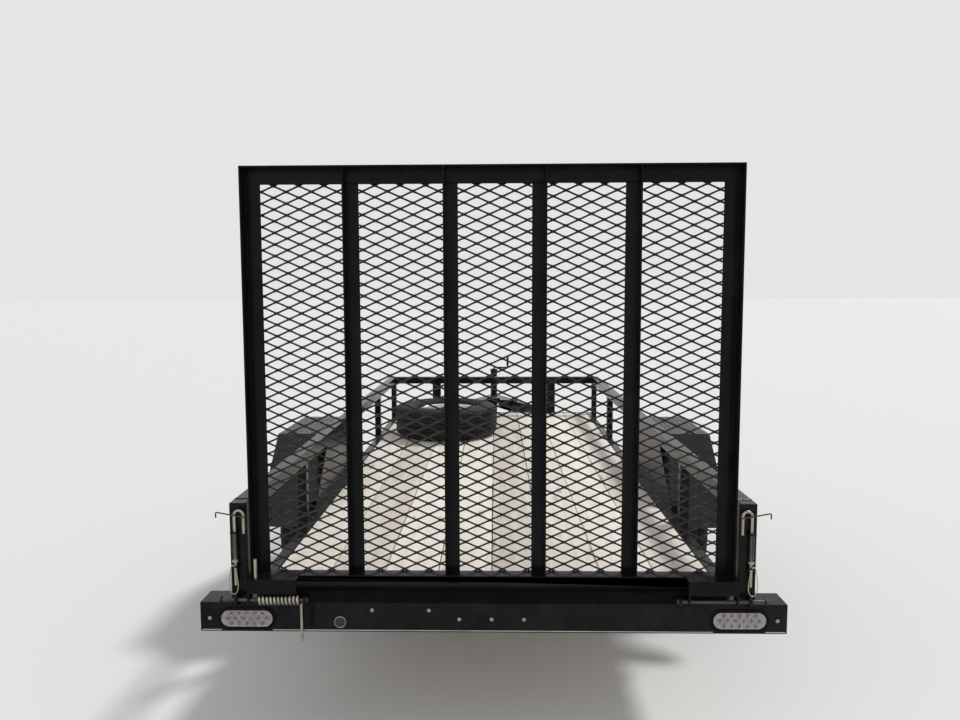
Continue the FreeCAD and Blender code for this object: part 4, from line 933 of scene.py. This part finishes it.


# weld beads where posts and stakes meet the frame, and on the gate

weld = {
    "radius": 0.0034, "ripple": 0.0007, "pitch": 0.0045, "sunk": 0.0004,
    "postInner": 0.7747, "postBack": 0.0076, "postWide": 0.0508,
    "barTop": 0.4895, "railLow": 0.7575, "railTop": 0.8083,
    "stakes": (0.767, 2.794, 3.6195), "stakeWide": 0.0381, "sill": (0.436, 0.5215),
    "frontPost": 0.452, "frontHalf": 0.03175, "frontLevel": 0.5223,
    "uprights": (-0.431, -0.124, 0.149, 0.436), "uprightHalf": 0.022, "legOut": 0.02225,
    "legSpan": (0.5743, 0.536), "gateLevels": (0.5377, 1.8001), "gateFace": 0.0538,
}


def weldBead(x, y, z):
    # a tube whose radius rises and falls like laid weld pools, sunk into the joint; x, y and z each hold one
    # value for both ends or one for each
    start, end = np.stack(np.broadcast_arrays(x, y, z), -1)
    far = np.linalg.norm(end - start)
    t = np.linspace(0, 1, max(int(far / weld["pitch"]) * 4, 12))
    ripple = weld["ripple"] * np.abs(np.sin(np.pi * t * far / weld["pitch"]))
    radius = (weld["radius"] + ripple - weld["sunk"]) * np.clip(12 * np.minimum(t, 1 - t) + 0.3, 0, 1)
    side = toZ if abs(end[2] - start[2]) < 0.5 * far else toX
    return tubeAlong(start + t[:, None] * (end - start), side, radius, 8)


def makeWelds():
    beads = []
    barTop, low, top, tube = weld["barTop"], weld["railLow"], weld["railTop"], weld["stakeWide"]
    back = rear + weld["postBack"]
    front = back + weld["postWide"]
    for sign in (-1, 1):
        inner, outer = sign * weld["postInner"], sign * (weld["postInner"] + weld["postWide"])
        beads += [weldBead((inner, outer), back, barTop), weldBead(outer, (back, front), barTop),
                  weldBead((inner, outer), front, top - 0.001), weldBead(outer, front, (low, top - 0.002))]
        for place in weld["stakes"]:
            for y in (rear + place, rear + place + tube):
                beads += [weldBead((inner, inner + sign * tube), y, low), weldBead(inner, y, weld["sill"])]
        y = rear + weld["stakes"][-1]
        edges = [sign * weld["frontPost"] + turn * weld["frontHalf"] for turn in (-1, 1)]
        beads += [weldBead(x, (y, y + tube), z) for x in edges for z in (weld["frontLevel"], low)]
        beads.append(weldBead(edges, y, weld["frontLevel"]))
    addPiece("weldBeads", join(beads), blackPaint, "black_paint")
    beads = []
    for middle in weld["uprights"]:
        ends, y = (middle - weld["uprightHalf"], middle + weld["uprightHalf"]), rear + weld["gateFace"]
        beads += [weldBead(ends, y, level) for level in weld["gateLevels"]]
        beads.append(weldBead(middle - math.copysign(weld["legOut"], middle), y - 0.0002, weld["legSpan"]))
    addPiece("gateWelds", join(beads), gatePaint, "black_paint", body="gate")


makeWelds()
print("welds laid")


# hinge line: pins, washers and lugs

hinge = {
    "back": 0.0183, "level": 0.5053, "pin": 0.00635, "inner": 0.574, "outer": 0.858, "edge": 0.001,
    "washer": 0.0115, "washerThick": 0.003, "washerEdge": 0.0004, "washers": (0.577, 0.849),
    "lugs": (0.581, 0.798), "lugThick": 0.008, "lugRadius": 0.0138, "lugLow": 0.4813,
    # the next entry sets out a painted shadow: a dark block on the light bar where the spring's leg casts its
    # shadow
    "tab": (0.5695, 0.00725, 0.0022, 0.522, 0.108),  # place, half width, thickness, top, height
}


def makeHinges():
    y, z, r = rear - hinge["back"], hinge["level"], hinge["lugRadius"]
    t = np.linspace(np.pi / 2, np.pi, 12)
    nose = np.stack([y + r * np.cos(t), z + r * np.sin(t)], -1).tolist()
    outline = [(rear, hinge["lugLow"]), (rear, z + r)] + nose + [(y - r, z - 0.004), (y - 0.6 * r, z - 0.012)]
    rod = pinProfile(hinge["outer"] - hinge["inner"], hinge["pin"], hinge["edge"])
    washer = pinProfile(hinge["washerThick"], hinge["washer"], hinge["washerEdge"])
    for side, sign in bothSides:
        turned = [(rod, hinge["inner"], 28)] + [(washer, spot, 32) for spot in hinge["washers"]]
        pins = [lathe(profile, (sign, 0, 0), sides, (sign * x, y, z)) for profile, x, sides in turned]
        addPiece("hingeRod" + side.capitalize(), join(pins), darkSteel, "black_paint", "hinge_pin_" + side)
        lugs = [slab(outline, 0, sign * spot, sign * (spot + hinge["lugThick"])) for spot in hinge["lugs"]]
        addPiece("hingeLugs" + side.capitalize(), join(lugs), blackPaint, "black_paint", bevel=0.0011)


makeHinges()


# gate spring and latches

spring = {
    "wire": 0.0051, "coilWire": 0.0046, "mean": 0.0120, "start": -0.7285, "end": -0.60045, "turns": 10.75,
    "legLow": 0.366, "arm": (-0.7387, -0.0202), "armLow": 0.526, "armTop": 0.638,
}


def makeGateSpring():
    centre = (spring["start"], rear - hinge["back"], hinge["level"])
    wire, pitch = spring["coilWire"], (spring["end"] - spring["start"]) / spring["turns"]
    path, outward = helixPath(centre, toX, toZ, toRear, spring["mean"], pitch, spring["turns"], 28)
    leg = straightTube(path[-1], (*path[-1][:2], spring["legLow"]), 8, toX, wire, 14)
    addPiece("gateSpringCoil", join([tubeAlong(path, outward, wire, 14), leg]), zinc, "zinc", "gate_coil")
    x, y = spring["arm"]
    ends = [(x, rear + y, spring["armLow"]), (x, rear + y, spring["armTop"])]
    arm = straightTube(*ends, 6, toX, spring["wire"], 18)
    addPiece("gateSpringArm", arm, zinc, "zinc", "gate_spring_arm", body="gate")
    # painted shadow: a dark thin block on the light bar beside the coil, where the spring's leg casts its
    # shadow on the bar
    place, half, thick, top, tall = hinge["tab"]
    y = rear - 0.0002
    tab = block((-place - half, y - thick, top - tall), (-place + half, y, top))
    addPiece("springTab", tab, rubberAndShade, "black_paint", smooth=False, bevel=0.0006)


latch = {
    "place": 0.806, "reach": 0.028, "rod": 0.0048, "back": -0.0034, "face": 0.0076, "top": 0.773,
    "low": 0.548, "tip": 0.714, "guides": (0.716, 0.606), "guideThick": 0.004, "guideHalf": 0.012,
    "coil": 0.0071, "wire": 0.0015, "turns": 15, "coilTop": 0.7158,
    "collar": (0.622, 0.630, 0.0100),               # low, high, radius
    "pin": (0.862, 0.772, 0.784, 0.767, 0.0022),    # outer and inner end, their levels, radius
    "ring": (0.812, 0.0135, 0.567, 0.048, 0.0016),  # place, half width, level, reach down, radius
}


def makeLatches():
    # a rod up the post, over in a half circle and down in front of the gate, with a coil between two guides
    y, top, wire, half = rear + latch["back"], latch["top"], latch["wire"], latch["guideHalf"]
    for side, sign in bothSides:
        name = side.capitalize()
        x, hook = sign * latch["place"], sign * (latch["place"] - latch["reach"])
        rise = np.linspace((x, y, latch["low"]), (x, y, top), 14)
        angle = np.linspace(0, np.pi, 15)[1:-1, None]
        bend = latch["reach"] / 2 * (np.cos(angle) * (sign, 0, 0) + np.sin(angle) * toZ)
        bend = np.array([(x + hook) / 2, y, top]) + bend
        fall = np.linspace((hook, y, top), (hook, y, latch["tip"]), 5)
        rod = tubeAlong(np.concatenate([rise, bend, fall]), toY, latch["rod"], 16)
        low, high, wide = latch["collar"]
        collar = lathe(pinProfile(high - low, wide, 0.001), toZ, 28, (x, y, low))
        addPiece("latchRod" + name, join([rod, collar]), zinc, "zinc", "latch_" + side)
        pitch = (latch["coilTop"] - high - 2 * wire) / latch["turns"]
        start = (x, y, high + wire)
        path, outward = helixPath(start, toZ, toX, toY, latch["coil"], pitch, latch["turns"], 18)
        outer, inner, high, low, thin = latch["pin"]
        back = y - latch["rod"] - thin
        ends = [(sign * outer, back, high - 0.018), (sign * outer, back, high), (sign * inner, back, low)]
        pin = tubeAlong(bentPath(ends, 0.006), toY, thin, 10)
        addPiece("latchCoil" + name, join([tubeAlong(path, outward, wire, 8), pin]), darkSteel, "zinc")
        # a flattened ring of wire that hangs from the lower guide: a circle drawn out downwards
        across, reach, level, tall, thin = latch["ring"]
        turn = np.linspace(0, 2 * np.pi, 41)[:, None]
        loop = np.concatenate([reach * np.cos(turn) * (1 - 0.35 * np.sin(turn)), -0.003 * np.sin(turn),
                               tall * np.sin(turn)], 1)
        loop = np.array([sign * across, y - 0.0075, level]) + loop
        addPiece("keeperRing" + name, tubeAlong(loop, toY, thin, 8), yellowZinc, "zinc")
        plates = [block((x - half, y - half, level),
                        (x + half, rear + latch["face"], level + latch["guideThick"]))
                  for level in latch["guides"]]
        addPiece("latchGuides" + name, join(plates), blackPaint, "black_paint", smooth=False, bevel=0.0008)


makeGateSpring()
makeLatches()
print("hinges, spring and latches set")


# jack

jackSet = {
    "place": 4.3976, "tube": 0.0286, "low": 0.352, "top": 0.775, "wall": 0.0026, "head": 0.032,
    "headTop": 0.796, "plate": 0.054, "plateLow": 0.5273, "plateThick": 0.0095,
    "bolts": ((-0.78, -0.55), (0.78, -0.55), (0.0, 0.82)),  # as shares of the plate's half width
    "leg": 0.0254, "legLow": 0.006, "legTop": 0.436, "legBore": 0.021, "foot": 0.0635, "footFlat": 0.88,
    "arm": 0.0064, "armBend": 0.0105, "level": 0.8088, "reach": 0.122,
    "gripLow": 0.8216, "gripTop": 0.9176, "grip": 0.011, "waist": 0.0006,
}


def holedPlate(outline, middle, hole, low, high, steps=48):
    # a plate with a round hole: on each ray from the hole's middle, its edge lies at the nearest side of the
    # outline, and the rays through the corners are among them
    corners = np.asarray(outline, float) - middle
    angle = np.concatenate([np.linspace(0, 2 * np.pi, steps, endpoint=False), np.arctan2(*corners.T[::-1])])
    angle = np.unique(np.round(angle % (2 * np.pi), 6))
    ray = np.stack([np.cos(angle), np.sin(angle)], -1)[:, None]
    start, run = corners[None], (np.roll(corners, -1, 0) - corners)[None]
    turn = ray[..., 0] * run[..., 1] - ray[..., 1] * run[..., 0]
    turn = np.where(np.abs(turn) < 1e-12, 1e-12, turn)
    reach = (start[..., 0] * run[..., 1] - start[..., 1] * run[..., 0]) / turn
    share = (start[..., 0] * ray[..., 1] - start[..., 1] * ray[..., 0]) / turn
    edge = np.where((reach > 0) & (share > -1e-6) & (share < 1 + 1e-6), reach, np.inf).min(1)
    x, y = middle
    points = [np.column_stack([x + r * np.cos(angle), y + r * np.sin(angle), angle * 0 + level])
              for r, level in ((edge, high), (hole, high), (hole, low), (edge, low))]
    return np.concatenate(points), gridFaces(4, len(angle), closed=True)


def makeJackTube(y):
    # the tube with its cap, the plate that it goes through, and the plate's bolts
    tube, wall, low, top = jackSet["tube"], jackSet["wall"], jackSet["low"], jackSet["top"]
    head, crown = jackSet["head"], jackSet["headTop"]
    profile = [(low + 0.2, tube - wall), (low + 0.001, tube - wall), (low, tube - wall + 0.0006),
               (low, tube - 0.0006), (low + 0.001, tube), (0.5, tube), (0.70, tube), (top, tube),
               (top, head - 0.001), (top + 0.001, head), (crown - 0.004, head), (crown - 0.001, head - 0.002),
               (crown, head - 0.005), (crown, 0.011), (crown + 0.004, 0.0105), (crown + 0.004, 0.0)]
    addPiece("jackCase", lathe(profile, toZ, 48, (0, y, 0)), blackPaint, "black_paint", "jack_tube")
    p, floor = jackSet["plate"], jackSet["plateLow"] + jackSet["plateThick"]
    outline = [(-p, y - 0.75 * p), (p, y - 0.75 * p), (p, y - 0.35 * p), (0.3 * p, y + p), (-0.3 * p, y + p),
               (-p, y - 0.35 * p)]
    plate = holedPlate(outline, (0, y), tube - 0.0002, jackSet["plateLow"], floor)
    addPiece("jackPlate", plate, blackPaint, "black_paint", smooth=False, bevel=0.0012)
    bolts = [hexBolt((u * p, y + v * p, floor), toZ, 0.0078, 0.006) for u, v in jackSet["bolts"]]
    # a weld bead round the tube
    turn = np.linspace(0, 2 * np.pi, 180)[:, None]
    ring = (tube + 0.0008) * np.concatenate([np.cos(turn), np.sin(turn), 0 * turn], 1)
    size = weld["radius"] * 0.8 + weld["ripple"] * np.abs(np.sin(20 * turn[:, 0]))
    bead = tubeAlong(np.array([0, y, floor + 0.0002]) + ring, toZ, size, 8)
    addPiece("jackBolts", join(bolts + [bead]), jackZinc, "zinc")


def makeJackCrank(y):
    # an arm bent up and over, and a plastic grip that stands on its end
    level, reach, low = jackSet["level"], jackSet["reach"], jackSet["gripLow"]
    corners = [(0, y, jackSet["headTop"]), (0, y, level), (reach, y, level), (reach, y, low + 0.01)]
    arm = tubeAlong(bentPath(corners, jackSet["armBend"]), toY, jackSet["arm"], 16)
    addPiece("crankArm", arm, blackPaint, "black_paint", "jack_crank")
    # the grip swells in the middle and has seven shallow waists
    t = np.linspace(0, 1, 33)
    swell = jackSet["grip"] * (0.86 + 0.14 * np.sin(np.pi * t) ** 0.5)
    waists = jackSet["waist"] * np.maximum(0, np.sin(14 * np.pi * t))
    long = jackSet["gripTop"] - low
    profile = np.concatenate([[(0, 0.0)], np.stack([t * long, swell - waists], -1), [(long, 0.0)]])
    addPiece("crankGrip", lathe(profile, toZ, 28, (reach, y, low)), blackPlastic, "zinc")


def makeJackLeg(y):
    # the inner tube that slides down out of the jack, on its foot
    leg, low, top, bore = jackSet["leg"], jackSet["legLow"], jackSet["legTop"], jackSet["legBore"]
    post = lathe([(low, bore), (low, leg), (top - 0.001, leg), (top, leg - 0.001), (top, bore + 0.0005),
                  (low + 0.001, bore)], toZ, 48, (0, y, 0))
    # its pad is a square with the corners cut off
    f, k = jackSet["foot"], jackSet["foot"] * jackSet["footFlat"]
    corners = ((-k, -f), (k, -f), (f, -k), (f, k), (k, f), (-k, f), (-f, k), (-f, -k))
    pad = slab([(u, y + v) for u, v in corners], 2, 0.0, low)
    addPiece("jackLegSteel", join([post, pad]), jackZinc, "zinc", "jack_leg", body="jack_leg", bevel=0.0009)


makeJackTube(rear + jackSet["place"])
makeJackCrank(rear + jackSet["place"])
makeJackLeg(rear + jackSet["place"])
print("jack set")


# lamps and the small things on the light bar

lampSet = {
    "place": 0.7765, "rise": 0.4375, "long": 0.165, "tall": 0.054, "proud": 0.006, "rim": 0.011,
    "rimProud": 0.003, "sides": 72, "seat": 0.0008, "domeWide": 0.0030, "domeEdge": 0.0008,
    "ringStep": 0.0245, "rowStep": 0.0165, "cellRows": (5, 6, 5), "cup": 0.0098, "dome": 0.0035,
    "marker": 0.010, "markerProud": 0.004, "markers": (-0.895, 0.895, -0.102, 0.0, 0.102),
    # the next entries set the thickness, runs and level of the painted highlight line along the bar's lower
    # edge
    "lip": 0.0016, "glintRuns": ((-0.920, -0.858), (-0.695, 0.695), (0.858, 0.920)), "glintLevel": 0.3995,
    "plug": (-0.480, 0.4265, 0.019), "screws": (-0.378, -0.198), "screwLevel": 0.465,
}


def ovalPart(offsets, shares, depths, closed=False):
    # a stadium outline set out by an offset and drawn in by a share, row by row:
    # point = share * (sign(cos a) * run + (r + offset) * cos a, (r + offset) * sin a)
    sides = lampSet["sides"]
    run = (lampSet["long"] - lampSet["tall"]) / 2
    radius = lampSet["tall"] / 2 + np.asarray(offsets, float)[:, None]
    share = np.asarray(shares, float)[:, None]
    angle = np.linspace(0, 2 * np.pi, sides, endpoint=False)[None] + np.pi / sides
    points = np.zeros((len(offsets), sides, 3))
    points[..., 0] = share * (np.sign(np.cos(angle)) * run + radius * np.cos(angle))
    points[..., 2] = share * radius * np.sin(angle)
    points[..., 1] = np.asarray(depths, float)[:, None]
    return points, gridFaces(len(offsets), sides, closed)


def makeLamps():
    # each lamp is a reflector with cells, a diode in each, a lens like a flat dome and a rubber ring
    seat, rim, out = lampSet["seat"], lampSet["rim"], lampSet["rimProud"]
    shares = np.array([1.0, 0.985, 0.96, 0.90, 0.75, 0.5, 0.25, 0.0])
    depth = rear - lampSet["proud"] + 0.0022 * shares ** 10 + 0.0001
    lens = ovalPart(np.full(10, -0.0004), [0.0, 0.998, *shares], [rear - seat, rear - seat, *depth])
    plate = ovalPart([-0.0008] * 4, [0, 1, 1, 0], [rear - 0.0006, rear - 0.0006, rear + 0.02, rear + 0.02])
    profile = np.array([(-0.0002, 0.0), (-0.0002, 0.0036), (0.0010, 0.0044), (0.0026, 0.0040), (0.0036, out),
                        (rim - 0.0022, out), (rim - 0.0006, out * 0.6), (rim, 0.0)])
    ring = ovalPart(profile[:, 0], np.ones(len(profile)), rear - profile[:, 1], closed=True)
    cup = lathe([(-0.0004, lampSet["cup"]), (0.0012, 0.0092), (0.0002, 0.0085), (-0.0002, 0.0055),
                 (0.0016, 0.0040)], toRear, 24)
    t = np.linspace(0, np.pi / 2, 6)
    half = lampSet["domeEdge"] + lampSet["domeWide"] * np.sin(t)
    dome = lathe(np.stack([half, lampSet["dome"] * np.cos(t)], -1), toRear, 16)
    cells = [((column - (count - 1) / 2) * lampSet["ringStep"], 0, (1 - row) * lampSet["rowStep"])
             for row, count in enumerate(lampSet["cellRows"]) for column in range(count)]
    lamps = np.array([(sign * lampSet["place"], 0, lampSet["rise"]) for sign in (-1, 1)])
    cells = np.array(cells)[None] + lamps[:, None] + (0, rear - seat, 0)
    backs = join([copies(plate, lamps), copies(cup, cells)])
    addPiece("lampReflectors", backs, ledWhite, "lens", "tail_lamps")
    addPiece("lampDiodes", copies(dome, cells), ledRed, "lens")
    addPiece("lampLenses", copies(lens, lamps), clearLens, "lens")
    addPiece("lampGrommets", copies(ring, lamps), rubberAndShade, "grommet", "lamp_grommets")


def makeMarkers():
    # a knob, which is a quarter of an ellipse turned about its axis, in a rubber ring
    wide, t = lampSet["marker"], np.linspace(0, np.pi / 2, 7)
    inner = wide * 0.72
    bulge = (lampSet["markerProud"] - 0.0002) * np.sin(t)
    knob = lathe(np.stack([bulge, inner * np.cos(t)], -1), toRear, 24)
    ring = [(-0.001, wide), (0.0012, wide), (0.0022, wide * 0.9), (0.0018, inner), (-0.001, inner)]
    places = [(x, rear, lampSet["rise"]) for x in lampSet["markers"]]
    addPiece("markerLenses", copies(knob, places), markerLens, "lens_red", "marker_lamps")
    addPiece("markerRings", copies(lathe(ring, toRear, 24), places), rubberAndShade, "grommet")


def makeBarTrim():
    # a dark plug with a bright rim, and screws with domed heads, all on the bar's rear face
    x, z, r = lampSet["plug"]
    cap = [(0, 0.0), (0, r * 0.86), (0.0016, r * 0.84), (0.0022, r * 0.6), (0.0024, 0.0)]
    addPiece("barPlug", lathe(cap, toRear, 40, (x, rear + 0.0002, z)), blackPlastic, "grommet")
    rim = [(-0.0002, r * 0.84), (0.0022, r * 0.86), (0.0030, r * 0.92), (0.0022, r * 0.98), (-0.0002, r)]
    rim = lathe(rim, toRear, 40, (x, rear, z))
    head = lathe([(-0.0002, 0.0), (-0.0002, 0.0066), (0.0012, 0.0062), (0.0026, 0.0044), (0.0032, 0.0022),
                  (0.0026, 0.0016), (0.0026, 0.0)], toRear, 20)
    # a painted highlight: a bright line just over the bar's lower edge, standing in for light caught on its
    # rounded corner, broken below each lamp
    y, z = rear + 0.0006, lampSet["glintLevel"]
    runs = [straightTube((start, y, z), (end, y, z), 24, toY, lampSet["lip"], 10)
            for start, end in lampSet["glintRuns"]]
    addPiece("barLip", join(runs), paintedGlint, "black_paint")
    spots = [(spot, rear, lampSet["screwLevel"]) for spot in lampSet["screws"]]
    addPiece("barScrews", join([rim, copies(head, spots)]), screwSteel, "zinc")


makeLamps()
makeMarkers()
makeBarTrim()
print("lamps fitted")
